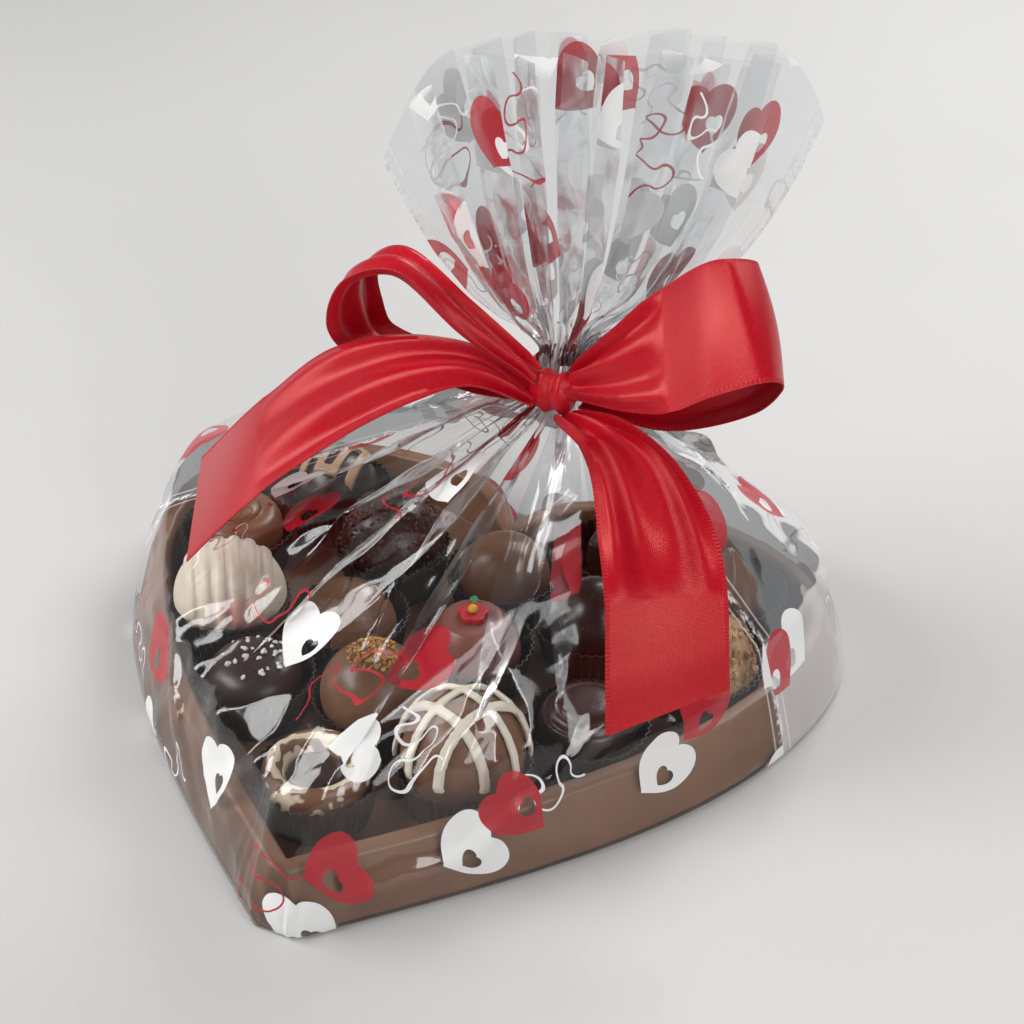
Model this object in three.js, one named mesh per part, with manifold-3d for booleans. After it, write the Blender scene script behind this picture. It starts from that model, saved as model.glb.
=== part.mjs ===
// A gift of assorted chocolates: a heart-shaped tray moulded in milk chocolate, filled with chocolates in
// fluted paper cups, in a clear film bag that is gathered above the tray and tied with a satin ribbon bow.
// Millimetres, +Z up. The origin is the middle of the heart on the resting plane, the heart's tip points
// to -Y and its lobes to +Y.

import * as THREE from 'three';
import { mergeVertices } from 'three/addons/utils/BufferGeometryUtils.js';
import Module from 'manifold-3d';

const wasm = await Module();
wasm.setup();

// Gaps
const seatGap = 0.3;
const cupGap = 0.8;
const filmSlack = 0.5;
const ribbonGap = 0.5;
const heelTuck = 0.6;
const rimSlack = 0.5;

// Paper cups
const cupDiameter = 34.6;
const cupHeight = 13.5;
const cupDraft = 3.2;
const cupFlutes = 18;
const fluteDepth = 0.9;
const paper = 0.35;
const largeCupExtra = 2.8;

// Chocolates
const bonbonHeight = 24;
const truffleDiameter = 33.6;
const netTruffleDiameter = 35.4;
const icingHeight = 1.5;
const icingWidth = 2.6;
const netWidth = 2.2;
const icingFrom = 0.74;
const ribHeight = 0.9;
const ribSpacing = 4.4;
const ribFrom = 0.45;
const shellGroove = 0.8;
const ovalSqueeze = 0.88;
const crumbRelief = 0.9;
const nutRelief = 1.3;
const squareBevel = 1.2;
const squareBevelRise = 1.6;
const flowerDiameter = 9;
const flowerHeight = 1.6;
const flowerSeatDrop = 2.4;
const leafLength = 3.6;
const leafWidth = 2.6;
const leafHeight = 0.9;
const dipDiameter = 19;

// Moulded tray
const trayHeight = 18.4;
const trayWall = 4.7;
const trayFloor = 4;
const baseFlare = 5;
const innerDraft = 1.4;
const rimRound = 0.8;

// Film bag
const film = 0.4;
const neckX = 32;
const neckY = 25;
const neckRadius = 7;
const neckFlute = 0.7;
const neckCore = 2.5;
const tentPleat = 4.5;
const tieHeight = 108;
const tieLength = 16;
const fanHeight = 82;
const fanLeft = 46;
const fanRight = 63;
const fanDepth = 9;
const fanPleat = 4;
const fanTurn = 0.37;
const fanDropLeft = 0.38;
const fanDropRight = 0.24;
const shoulderRise = 17;
const shoulderInset = 0.07;

// Ribbon
const ribbon = 0.6;
const bandHeight = 11;
const knotWidth = 14;
const knotDepth = 10.4;
const knotHeight = 13;
const knotWaist = 0.12;
const knotSink = 0.6;
const knotShift = 2;
const bandRound = 0.4;
const ribbonCrown = 1.5;

// Places that follow from the sizes above
const pitch = cupDiameter + cupGap;
const trayBottom = film + seatGap;
const floorTop = trayBottom + trayFloor;
const rimTop = trayBottom + trayHeight;
const cupBottom = floorTop + seatGap;
const chocolateBottom = cupBottom + paper + seatGap;
const neckBottom = tieHeight - tieLength / 2;
const neckTop = tieHeight + tieLength / 2;
const shoulderHeight = rimTop + shoulderRise;

// Finishes
const finish = (color, roughness, metalness = 0) => ({ color, roughness, metalness });
const milk = finish(0x6b3f26, 0.42);
const dark = finish(0x2c1710, 0.38);
const white = finish(0xe9dcc3, 0.5);
const caramel = finish(0xc08a55, 0.55);
const cupBrown = finish(0x24130d, 0.7);
const clearFilm = finish(0xe8eef0, 0.08);
const satin = finish(0xb00d25, 0.32);
const iceRed = finish(0xc11420, 0.5);
const iceGreen = finish(0x2e8a3c, 0.5);
const iceYellow = finish(0xf0bf22, 0.5);

const box = new THREE.Group();

/** Adds one named solid to the assembly. */
function add(name, geometry, look, x = 0, y = 0, z = 0) {
  const mesh = new THREE.Mesh(geometry, new THREE.MeshStandardMaterial(look));
  mesh.name = name;
  mesh.position.set(x, y, z);
  box.add(mesh);
  return mesh;
}

/** Joins points that lie together and leaves out the triangles that have no area. */
function welded(geometry) {
  const merged = mergeVertices(geometry, 1e-4);
  const index = merged.index.array;
  const kept = [];
  for (let i = 0; i < index.length; i += 3) {
    const [a, b, c] = [index[i], index[i + 1], index[i + 2]];
    if (a !== b && b !== c && c !== a) kept.push(a, b, c);
  }
  return merged.setIndex(kept);
}

/** Turns a triangle geometry into a solid that can be joined and cut. */
function solid(geometry) {
  const bare = geometry.index ? geometry.toNonIndexed() : geometry.clone();
  bare.deleteAttribute('normal');
  bare.deleteAttribute('uv');
  const merged = welded(bare);
  const mesh = new wasm.Mesh({
    numProp: 3,
    vertProperties: new Float32Array(merged.attributes.position.array),
    triVerts: new Uint32Array(merged.index.array),
  });
  return new wasm.Manifold(mesh);
}

/** Turns a joined or cut solid back into a geometry. */
function geometryOf(manifold) {
  const mesh = manifold.getMesh();
  const geometry = new THREE.BufferGeometry();
  geometry.setAttribute('position', new THREE.BufferAttribute(new Float32Array(mesh.vertProperties), 3));
  geometry.setIndex(new THREE.BufferAttribute(new Uint32Array(mesh.triVerts), 1));
  return geometry;
}

/** Builds a geometry from points and triangles. */
function meshOf(points, triangles) {
  const geometry = new THREE.BufferGeometry();
  geometry.setAttribute('position', new THREE.Float32BufferAttribute(points.flatMap((p) => [p.x, p.y, p.z]), 3));
  geometry.setIndex(triangles.flat());
  return welded(geometry);
}

/** Joins closed rings of equal count, from the first, which is capped, to the last, which is capped. */
function loft(rings) {
  const count = rings[0].length;
  const points = rings.flat();
  const triangles = [];
  for (let r = 0; r + 1 < rings.length; r++) {
    for (let i = 0; i < count; i++) {
      const j = (i + 1) % count;
      const [a, b] = [r * count + i, r * count + j];
      triangles.push([a, b, b + count], [a, b + count, a + count]);
    }
  }
  const cap = (ring) => THREE.ShapeUtils.triangulateShape(ring.map((p) => new THREE.Vector2(p.x, p.y)), []);
  const last = (rings.length - 1) * count;
  cap(rings[0]).forEach(([a, b, c]) => triangles.push([a, c, b]));
  cap(rings[rings.length - 1]).forEach(([a, b, c]) => triangles.push([last + a, last + b, last + c]));
  return meshOf(points, triangles);
}

/** Gives a grid of points its unit normals, by the neighbours along its rows and columns. */
function gridNormals(grid) {
  return grid.map((row, r) => row.map((_, c) => {
    const along = grid[Math.min(r + 1, grid.length - 1)][c].clone().sub(grid[Math.max(r - 1, 0)][c]);
    const across = row[Math.min(c + 1, row.length - 1)].clone().sub(row[Math.max(c - 1, 0)]);
    return across.cross(along).normalize();
  }));
}

/** Closes two grids of points of the same size, an outer and an inner skin, into one thin solid. */
function shell(outer, inner) {
  const [rows, columns] = [outer.length, outer[0].length];
  const at = (side, r, c) => (side * rows + r) * columns + c;
  const points = [...outer.flat(), ...inner.flat()];
  const triangles = [];
  const quad = (a, b, c, d) => triangles.push([a, b, c], [a, c, d]);
  for (let r = 0; r + 1 < rows; r++) {
    for (let c = 0; c + 1 < columns; c++) {
      quad(at(0, r, c), at(0, r, c + 1), at(0, r + 1, c + 1), at(0, r + 1, c));
      quad(at(1, r, c), at(1, r + 1, c), at(1, r + 1, c + 1), at(1, r, c + 1));
    }
    const end = columns - 1;
    quad(at(0, r, 0), at(0, r + 1, 0), at(1, r + 1, 0), at(1, r, 0));
    quad(at(0, r, end), at(1, r, end), at(1, r + 1, end), at(0, r + 1, end));
  }
  for (let c = 0; c + 1 < columns; c++) {
    const top = rows - 1;
    quad(at(0, 0, c), at(1, 0, c), at(1, 0, c + 1), at(0, 0, c + 1));
    quad(at(0, top, c), at(0, top, c + 1), at(1, top, c + 1), at(1, top, c));
  }
  return meshOf(points, triangles);
}

const mix = THREE.MathUtils.lerp;

// The heart's outline, from the tip round the right lobe to the cleft and back round the left one
const halfWidth = 2.74 * pitch + trayWall;
const tipY = -(2.46 * pitch + 1.3 * trayWall);
const widestY = 1.415 * pitch;
const cleftY = 1.79 * pitch + trayWall;
const side = new THREE.CubicBezierCurve(
  new THREE.Vector2(0, tipY),
  new THREE.Vector2(0.35 * halfWidth, tipY + 0.32 * halfWidth),
  new THREE.Vector2(halfWidth, widestY - 0.57 * halfWidth),
  new THREE.Vector2(halfWidth, widestY),
);
const lobe = new THREE.CubicBezierCurve(
  new THREE.Vector2(halfWidth, widestY),
  new THREE.Vector2(halfWidth, widestY + 0.46 * halfWidth),
  new THREE.Vector2(0.12 * halfWidth, cleftY + 0.41 * halfWidth),
  new THREE.Vector2(0, cleftY),
);
const sideSteps = 11;
const lobeSteps = 11;
const tipCut = 0.02;
const tipRound = 0.6;

/** The right half's stations: each is a point of the rim's outline and its outward normal. */
const stations = [];
for (let i = 0; i <= sideSteps; i++) {
  const t = mix(tipCut, 1, i / sideSteps);
  stations.push({ point: side.getPoint(t), tangent: side.getTangent(t) });
}
for (let i = 1; i <= lobeSteps; i++) {
  const t = i / lobeSteps;
  stations.push({ point: lobe.getPoint(t), tangent: lobe.getTangent(t) });
}

/** The outline moved outward by a distance, as the right half's points. */
function halfOutline(distance) {
  return stations.map(({ point, tangent }) => {
    const x = point.x + tangent.y * distance;
    return new THREE.Vector2(x, point.y - tangent.x * distance);
  });
}

/** The place where the line between two points meets the heart's middle plane. */
function onMiddle(a, b) {
  return new THREE.Vector2(0, mix(a.y, b.y, a.x / (a.x - b.x)));
}

/** A closed ring of the heart at one height: the tip, the right half, the cleft and the left half. */
function heartRing(distance, z) {
  let half = halfOutline(distance);
  let tip = new THREE.Vector2(0, half[0].y - tipRound);
  let cleft = new THREE.Vector2(0, cleftY + distance);
  const first = half.findIndex((p) => p.x > 0);
  if (first > 0) tip = onMiddle(half[first - 1], half[first]);
  const last = half.findIndex((p, i) => i > sideSteps && p.x <= 0);
  if (last > 0) cleft = onMiddle(half[last - 1], half[last]);
  half = half.map((p, i) => (i < first ? tip : p)).map((p, i) => (last > 0 && i >= last ? cleft : p));
  const right = half.map((p) => new THREE.Vector3(p.x, p.y, z));
  const left = half.map((p) => new THREE.Vector3(-p.x, p.y, z)).reverse();
  return [new THREE.Vector3(0, tip.y, z), ...right, new THREE.Vector3(0, cleft.y, z), ...left];
}

/** The moulded tray: a flared wall with a rounded rim, and a flat floor inside. */
function heartTray() {
  const shoulder = rimTop - rimRound;
  return loft([
    heartRing(baseFlare, trayBottom),
    heartRing(0.08 * baseFlare, shoulder),
    heartRing(-rimRound, rimTop),
    heartRing(rimRound - trayWall, rimTop),
    heartRing(-trayWall, shoulder),
    heartRing(-trayWall - innerDraft, floorTop),
  ]);
}
add('heart_tray', heartTray(), milk);

/** A fluted ring of a paper cup. */
function fluteRing(radius, depth, z) {
  const ring = [];
  for (let i = 0; i < 2 * cupFlutes; i++) {
    const angle = (i * Math.PI) / cupFlutes;
    const r = i % 2 ? radius - depth : radius;
    ring.push(new THREE.Vector3(r * Math.cos(angle), r * Math.sin(angle), z));
  }
  return ring;
}

/** A pleated paper cup of the given outer radius at its lip, standing on z = 0. */
function paperCup(lip) {
  const foot = lip - cupDraft;
  return loft([
    fluteRing(foot, 0.5 * fluteDepth, 0),
    fluteRing(lip, fluteDepth, cupHeight),
    fluteRing(lip - paper, fluteDepth, cupHeight),
    fluteRing(foot - paper, 0.5 * fluteDepth, paper),
  ]);
}

/** The clear radius inside a cup at a height above a chocolate's foot, for a cup of the given lip radius. */
function roomAt(lip, height) {
  const up = Math.min((height + seatGap + paper) / cupHeight, 1);
  return mix(lip - cupDraft - 0.5 * fluteDepth, lip - fluteDepth, up) - 2 * paper - seatGap;
}

/** A solid of revolution about Z from a profile of [radius, height] pairs that starts and ends on the axis. */
function revolve(profile, segments = 18) {
  const lathe = new THREE.LatheGeometry(profile.map(([r, z]) => new THREE.Vector2(r, z)), segments);
  lathe.rotateX(Math.PI / 2);
  return lathe;
}

/** A ball of the given diameter that stands on a flat foot, no wider than its cup lets it be. */
function truffleProfile(diameter, lip, steps = 9) {
  const radius = diameter / 2;
  const foot = 0.72 * roomAt(lip, 0);
  const centre = Math.sqrt(radius * radius - foot * foot);
  const from = -Math.asin(centre / radius);
  const profile = [[0, 0], [foot, 0]];
  for (let i = 1; i < steps; i++) {
    const angle = mix(from, Math.PI / 2, i / steps);
    const z = centre + radius * Math.sin(angle);
    profile.push([Math.min(radius * Math.cos(angle), z < cupHeight ? roomAt(lip, z) : radius), z]);
  }
  profile.push([0, centre + radius]);
  return profile;
}

/** A domed bonbon: straight drafted sides up to the waist, then a superellipse dome. */
function domeProfile(lip, height, power = 2.3, steps = 7) {
  const foot = roomAt(lip, 0) - seatGap;
  const waist = roomAt(lip, cupHeight * 0.55) - seatGap;
  const waistZ = cupHeight * 0.6;
  const profile = [[0, 0], [foot, 0]];
  for (let i = 0; i < steps; i++) {
    const angle = (i / steps) * (Math.PI / 2);
    const r = waist * Math.cos(angle) ** (2 / power);
    profile.push([r, waistZ + (height - waistZ) * Math.sin(angle) ** (2 / power)]);
  }
  profile.push([0, height]);
  return profile;
}

/** The same profile moved outward, for icing that lies on it. */
function swollen(profile, by) {
  return profile.map(([r, z]) => [r > 0 ? r + by : 0, z === 0 ? -by : z + by * (z / (z + r + 1))]);
}

/** The space just over a profile's surface, from a small gap up to the icing's height. */
function rindOver(profile) {
  const outer = solid(revolve(swollen(profile, icingHeight)));
  return outer.subtract(solid(revolve(swollen(profile, seatGap))));
}

/** The part of a solid above a share of the profile's height. */
function crownOf(body, profile, share) {
  const above = new THREE.BoxGeometry(4 * pitch, 4 * pitch, 4 * pitch);
  above.translate(0, 0, share * profile[profile.length - 1][1] + 2 * pitch);
  return body.intersect(solid(above));
}

/** An upright slab through the axis side, turned about Z and tilted, that cuts one strip of piped icing. */
function strip(offset, turn, tilt, reach, width) {
  const slab = new THREE.BoxGeometry(width, 4 * reach, 4 * reach);
  slab.translate(offset, 0, 0);
  slab.rotateY(tilt);
  slab.rotateZ(turn);
  return slab;
}

// The sixteen chocolates: their names and places, counted in cup pitches from the middle of the heart
const places = {
  net: [0.763, -1.007],
  ring: [-0.202, -1.542],
  ribbed: [-1.766, 0.147],
  oval: [-0.773, 0.303],
  spiral: [-2.167, 1.068],
  striped: [-1.625, 1.913],
  crumb: [-0.824, 1.306],
  salted: [-1.163, -0.65],
  caramel: [-0.173, -0.548],
  flower: [0.301, 0.327],
  ridged: [1.481, -0.247],
  dome: [1.105, 0.946],
  nut: [2.08, 0.75],
  swirl: [1.984, 1.752],
  cordial: [0.181, 1.315],
  square: [0.999, 1.951],
};
const lipOf = (name) => (cupDiameter + (name === 'net' ? largeCupExtra : 0)) / 2;

/** Adds a piece that stands in the named chocolate's cup. */
function place(name, node, geometry, look, z = chocolateBottom) {
  const [across, along] = places[name];
  return add(node, geometry, look, across * pitch, along * pitch, z);
}

for (const name of Object.keys(places)) {
  place(name, `cup_${name}`, paperCup(lipOf(name)), cupBrown, cupBottom);
}
const lip = lipOf('ring');

/** The milk truffle with a lattice of piped white icing over it. */
function netTruffle() {
  const profile = truffleProfile(netTruffleDiameter, lipOf('net'));
  place('net', 'choc_net', revolve(profile), milk);
  const reach = netTruffleDiameter / 2;
  const [middle, half, tilt] = [0.37, 0.78, 0.12];
  let lattice = null;
  for (const side of [-1, 1]) {
    for (const offset of [-0.55, 0, 0.55]) {
      const cut = solid(strip(offset * reach, middle + side * half, side * tilt, reach, netWidth));
      lattice = lattice ? lattice.add(cut) : cut;
    }
  }
  const icing = crownOf(rindOver(profile).intersect(lattice), profile, 0.5);
  place('net', 'net_icing', geometryOf(icing), white);
}
netTruffle();

/** The marbled ring: a thick rolled rim round a dark dipped centre. */
function ringChocolate() {
  const foot = roomAt(lip, 0) - seatGap;
  const rim = roomAt(lip, cupHeight) - seatGap;
  const dip = dipDiameter / 2;
  const height = 0.72 * bonbonHeight;
  const profile = [[0, 0], [foot, 0], [rim - 0.4, 0.62 * height], [rim, 0.78 * height], [rim - 1.2, 0.94 * height],
    [(rim + dip) / 2, height], [dip + 0.8, 0.95 * height], [dip, 0.84 * height], [dip - 0.6, 0.66 * height],
    [0, 0.62 * height]];
  place('ring', 'choc_ring', revolve(profile), milk);
  const floor = 0.62 * height;
  const centre = [[0, floor + seatGap], [dip - 1.4, floor + 0.04 * height + seatGap],
    [dip - 1.1, 0.78 * height], [0.5 * dip, 0.84 * height], [0.25 * dip, 0.78 * height], [0, 0.77 * height]];
  place('ring', 'ring_centre', revolve(centre, 14), dark);
}
ringChocolate();

/** A serpentine of piped icing over a round chocolate: straight passes joined at alternate ends. */
function serpentine(passes, spread, radius) {
  const half = icingWidth / 2;
  const spacing = (2 * spread * radius) / (passes - 1);
  const reach = 0.6 * radius;
  const x = (i) => (i - (passes - 1) / 2) * spacing;
  let body = null;
  for (let i = 0; i < passes; i++) {
    const pass = new THREE.BoxGeometry(icingWidth, 2 * reach, 4 * pitch);
    pass.translate(x(i), 0, 0);
    const parts = [solid(pass)];
    if (i + 1 < passes) {
      const link = new THREE.BoxGeometry(spacing + icingWidth, 2 * half, 4 * pitch);
      link.translate((x(i) + x(i + 1)) / 2, (i % 2 ? -1 : 1) * (reach - half), 0);
      parts.push(solid(link));
    }
    for (const part of parts) body = body ? body.add(part) : part;
  }
  return body;
}

/** The white truffle with raised slanting ribs over its crown, moulded in one with it. */
function ribbedTruffle() {
  const profile = truffleProfile(truffleDiameter - ribHeight, lip);
  const body = solid(revolve(profile));
  const raised = solid(revolve(swollen(profile, ribHeight)));
  const slant = 28;
  let ribs = null;
  for (let offset = -2.5 * ribSpacing; offset <= 2.5 * ribSpacing; offset += ribSpacing) {
    const rib = solid(new THREE.BoxGeometry(0.5 * ribSpacing, 4 * pitch, 4 * pitch).translate(offset, 0, 0));
    ribs = ribs ? ribs.add(rib) : rib;
  }
  const crown = crownOf(raised.intersect(ribs.rotate([0, 0, slant])), profile, ribFrom);
  place('ribbed', 'choc_ribbed', geometryOf(body.add(crown)), white);
}
ribbedTruffle();

/** The dark bonbon with caramel stripes piped over its crown. */
function stripedBonbon() {
  const dome = domeProfile(lip, bonbonHeight);
  place('striped', 'choc_striped', revolve(dome), dark);
  const waist = dome[2][0];
  const icing = rindOver(dome).intersect(serpentine(4, 0.56, waist));
  place('striped', 'striped_icing', geometryOf(crownOf(icing, dome, icingFrom)), caramel);
}
stripedBonbon();

/** The smooth oval bonbon with two fine grooves over its crown. */
function ovalChocolate() {
  const profile = domeProfile(lip, 0.95 * bonbonHeight, 2.1);
  const outer = revolve(profile, 24).scale(1, ovalSqueeze, 1);
  const inner = revolve(profile.map(([r, z]) => [Math.max(r - shellGroove, 0), z && z - shellGroove]), 24);
  inner.scale(1, ovalSqueeze, 1);
  let body = solid(outer);
  for (const offset of [-0.32 * lip, 0.32 * lip]) {
    const groove = solid(strip(offset, 0.2, 0.25, lip, shellGroove)).subtract(solid(inner));
    body = body.subtract(groove);
  }
  place('oval', 'choc_oval', geometryOf(body), milk);
}
ovalChocolate();

/** Bonbons that are plain turnings: stepped, ridged, domed and flat-topped. */
function turnedChocolates() {
  const foot = roomAt(lip, 0) - seatGap;
  const waist = roomAt(lip, 0.5 * cupHeight) - seatGap;
  const h = bonbonHeight;
  const g = shellGroove;
  place('spiral', 'choc_spiral', revolve([[0, 0], [foot, 0], [waist, 0.4 * h], [waist, 0.62 * h],
    [0.86 * waist, 0.76 * h], [0.62 * waist, 0.8 * h - g], [0.56 * waist, 0.8 * h - g], [0.5 * waist, 0.84 * h],
    [0.2 * waist, 0.87 * h], [0, 0.87 * h]]), milk);
  place('ridged', 'choc_ridged', revolve([[0, 0], [foot, 0], [waist, 0.35 * h], [waist, 0.58 * h],
    [0.9 * waist, 0.7 * h], [0.84 * waist, 0.7 * h - g], [0.78 * waist, 0.74 * h], [0.66 * waist, 0.78 * h],
    [0.6 * waist, 0.78 * h - g], [0.54 * waist, 0.81 * h], [0.3 * waist, 0.83 * h], [0, 0.83 * h]]), dark);
  place('dome', 'choc_dome', revolve(domeProfile(lip, 1.08 * h, 2)), dark);
  place('salted', 'choc_salted', revolve(domeProfile(lip, 0.78 * h, 3)), dark);
  place('caramel', 'choc_caramel', revolve(truffleProfile(0.93 * truffleDiameter, lip)), milk);
  place('cordial', 'choc_cordial', revolve(domeProfile(lip, 0.98 * h, 2.2)), milk);
}
turnedChocolates();

/** A truffle rolled in crumbs or chopped nuts: a ball whose surface is uneven by a formula. */
function rolledTruffle(diameter, lump) {
  const geometry = revolve(truffleProfile(diameter - 2 * lump, lip, 10), 22);
  const position = geometry.attributes.position;
  const p = new THREE.Vector3();
  for (let i = 0; i < position.count; i++) {
    p.fromBufferAttribute(position, i);
    const wave = Math.sin(1.9 * p.x + 0.7 * p.z) * Math.sin(1.7 * p.y - 0.9 * p.z) * Math.cos(1.3 * p.z);
    const out = p.z < cupHeight + seatGap ? 0 : lump * wave;
    position.setXYZ(i, p.x * (1 + out / lip), p.y * (1 + out / lip), p.z + 0.5 * out);
  }
  return geometry;
}
place('crumb', 'choc_crumb', rolledTruffle(truffleDiameter, crumbRelief), dark);
place('nut', 'choc_nut', rolledTruffle(truffleDiameter, nutRelief), caramel);

/** The piped milk rosette: a fluted cone that twists as it narrows. */
function swirlChocolate() {
  const lobes = 6;
  const steps = 7;
  const foot = roomAt(lip, 0) - seatGap;
  const rings = [];
  for (let i = 0; i <= steps; i++) {
    const up = i / steps;
    const radius = foot * (1 - up ** 1.8) + 1.2 * up;
    const ring = [];
    for (let k = 0; k < 4 * lobes; k++) {
      const angle = (k / (4 * lobes)) * 2 * Math.PI;
      const r = radius * (1 - 0.12 * (1 - Math.cos(lobes * angle)) * (1 - 0.5 * up));
      const turned = angle + 1.5 * up;
      ring.push(new THREE.Vector3(r * Math.cos(turned), r * Math.sin(turned), bonbonHeight * 1.1 * up));
    }
    rings.push(ring);
  }
  return loft(rings);
}
place('swirl', 'choc_swirl', swirlChocolate(), milk);

/** The square praline with bevelled shoulders and a crossed top. */
function squareChocolate() {
  const half = 0.7 * (roomAt(lip, 0) - seatGap);
  const round = 0.22 * half;
  const outline = new THREE.Shape();
  [[1, -1], [1, 1], [-1, 1], [-1, -1]].forEach(([x, y], k) => {
    const from = ((k - 1) * Math.PI) / 2;
    outline.absarc(x * (half - round), y * (half - round), round, from, from + Math.PI / 2);
  });
  const depth = 0.62 * bonbonHeight;
  const block = new THREE.ExtrudeGeometry(outline, {
    depth, bevelSize: squareBevel, bevelThickness: squareBevelRise, bevelSegments: 2,
    bevelOffset: -squareBevel, curveSegments: 3,
  });
  block.translate(0, 0, squareBevelRise);
  let body = solid(block);
  for (const turn of [Math.PI / 4, -Math.PI / 4]) {
    const cut = new THREE.BoxGeometry(shellGroove, 1.5 * half, 2 * shellGroove);
    cut.rotateZ(turn);
    cut.translate(0, 0, depth + 2 * squareBevelRise);
    body = body.subtract(solid(cut));
  }
  return geometryOf(body);
}
place('square', 'choc_square', squareChocolate(), dark);

/** The five-petalled plan of the icing flower. */
function petalPlan() {
  const petals = new THREE.Shape();
  const count = 5;
  const points = 6 * count;
  for (let i = 0; i < points; i++) {
    const angle = (i / points) * 2 * Math.PI;
    const r = (flowerDiameter / 2) * (0.78 + 0.22 * Math.abs(Math.sin((count * angle) / 2)));
    const [x, y] = [r * Math.cos(angle), r * Math.sin(angle)];
    if (i === 0) petals.moveTo(x, y);
    else petals.lineTo(x, y);
  }
  return petals;
}

/** The plan of the icing leaf, with its stem end at the petals' edge. */
function leafPlan() {
  const near = flowerDiameter / 2 + seatGap;
  const leaf = new THREE.Shape();
  leaf.moveTo(0, near);
  leaf.quadraticCurveTo(leafWidth, near + 0.4 * leafLength, 0.1 * leafWidth, near + leafLength);
  leaf.quadraticCurveTo(-leafWidth, near + 0.6 * leafLength, 0, near);
  return leaf;
}

/** The milk bonbon with a set icing flower: a ring of petals, an eye and a leaf behind them. */
function flowerChocolate() {
  const cap = bonbonHeight - flowerSeatDrop;
  const flat = flowerDiameter / 2 + seatGap + leafLength;
  const side = domeProfile(lip, bonbonHeight, 2.2).filter(([r, z]) => z < cap && (r > flat || z === 0));
  place('flower', 'choc_flower', revolve([...side, [flat, cap], [0, cap]]), milk);
  const seat = chocolateBottom + cap + seatGap;
  const petals = new THREE.ExtrudeGeometry(petalPlan(), { depth: flowerHeight, bevelEnabled: false });
  place('flower', 'flower_petals', petals, iceRed, seat);
  const eye = 0.19 * flowerDiameter;
  const eyeProfile = [[0, 0], [eye, 0], [0.9 * eye, 0.6 * eye], [0.5 * eye, eye], [0, 1.1 * eye]];
  place('flower', 'flower_eye', revolve(eyeProfile, 10), iceYellow, seat + flowerHeight + seatGap);
  const leaf = new THREE.ExtrudeGeometry(leafPlan(), { depth: leafHeight, bevelEnabled: false, curveSegments: 5 });
  leaf.rotateZ(0.35);
  place('flower', 'flower_leaf', leaf, iceGreen, seat);
}
flowerChocolate();

// The film bag. Its plan follows the tray and bridges the cleft; it is split at the two side welds
const weldSteps = 9;
const tentRows = [0.3, 0.62, 0.86];
const tentPleating = [0.5, 1, 0.6];
const fanRows = [0.2, 0.5, 1];
const frontColumns = 2 * (weldSteps + 1) + 1;

/** The bag's closed outline at a distance outside the rim: the left weld, the tip, the right weld, the lobes. */
function bagLine(distance) {
  const half = halfOutline(distance);
  const crown = half.reduce((best, p, i) => (p.y > half[best].y ? i : best), 0);
  const front = half.slice(0, weldSteps + 1);
  const lobes = half.slice(weldSteps, crown + 1);
  const bridge = new THREE.Vector2(0.5 * half[crown].x, half[crown].y);
  const right = [...lobes, bridge];
  const mirrored = (line) => line.map((p) => new THREE.Vector2(-p.x, p.y)).reverse();
  const tip = new THREE.Vector2(0, half[0].y - tipRound);
  const middle = new THREE.Vector2(0, half[crown].y);
  return [...mirrored(front), tip, ...front, ...right.slice(1), middle, ...mirrored(right.slice(1))];
}

/** For each column of the bag: -1 in front or 1 behind, its share of the way from left to right, its pleat. */
function bagColumns(count) {
  const last = frontColumns - 1;
  return Array.from({ length: count }, (_, k) => {
    const front = k <= last;
    const share = front ? k / last : 1 - (k - last) / (count - last);
    return { way: front ? -1 : 1, share, pleat: share > 0 && share < 1 ? (k % 2 ? 1 : -1) : 0 };
  });
}

/** A ring of the gathered neck, fluted by the pleats and twisted towards the fan. */
function neckRing(columns, radius, flute, z) {
  const twist = z > tieHeight ? fanTurn : 0;
  return columns.map(({ way, share, pleat }) => {
    const r = radius + pleat * flute;
    const turn = Math.PI - way * Math.PI * share + twist;
    return new THREE.Vector3(neckX + r * Math.cos(turn), neckY + r * Math.sin(turn), z);
  });
}

/** A ring of the fan above the tie, at a share of its height: two pleated leaves joined at the welds. */
function fanRing(columns, up) {
  return columns.map(({ way, share, pleat }) => {
    const belly = Math.sin(Math.PI * share);
    const across = mix(-fanLeft, fanRight, share) * up ** mix(0.45, 0.35, share);
    const deep = way * fanDepth * mix(0.6, 1, up) * belly + pleat * fanPleat * mix(0.15, 1, up) * belly;
    const drop = mix(fanDropLeft, fanDropRight, share) * (2 * share - 1) ** 4;
    return new THREE.Vector3(
      neckX + across * Math.cos(fanTurn) - deep * Math.sin(fanTurn),
      neckY + across * Math.sin(fanTurn) + deep * Math.cos(fanTurn),
      neckTop + fanHeight * up * (1 - drop),
    );
  });
}

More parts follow.
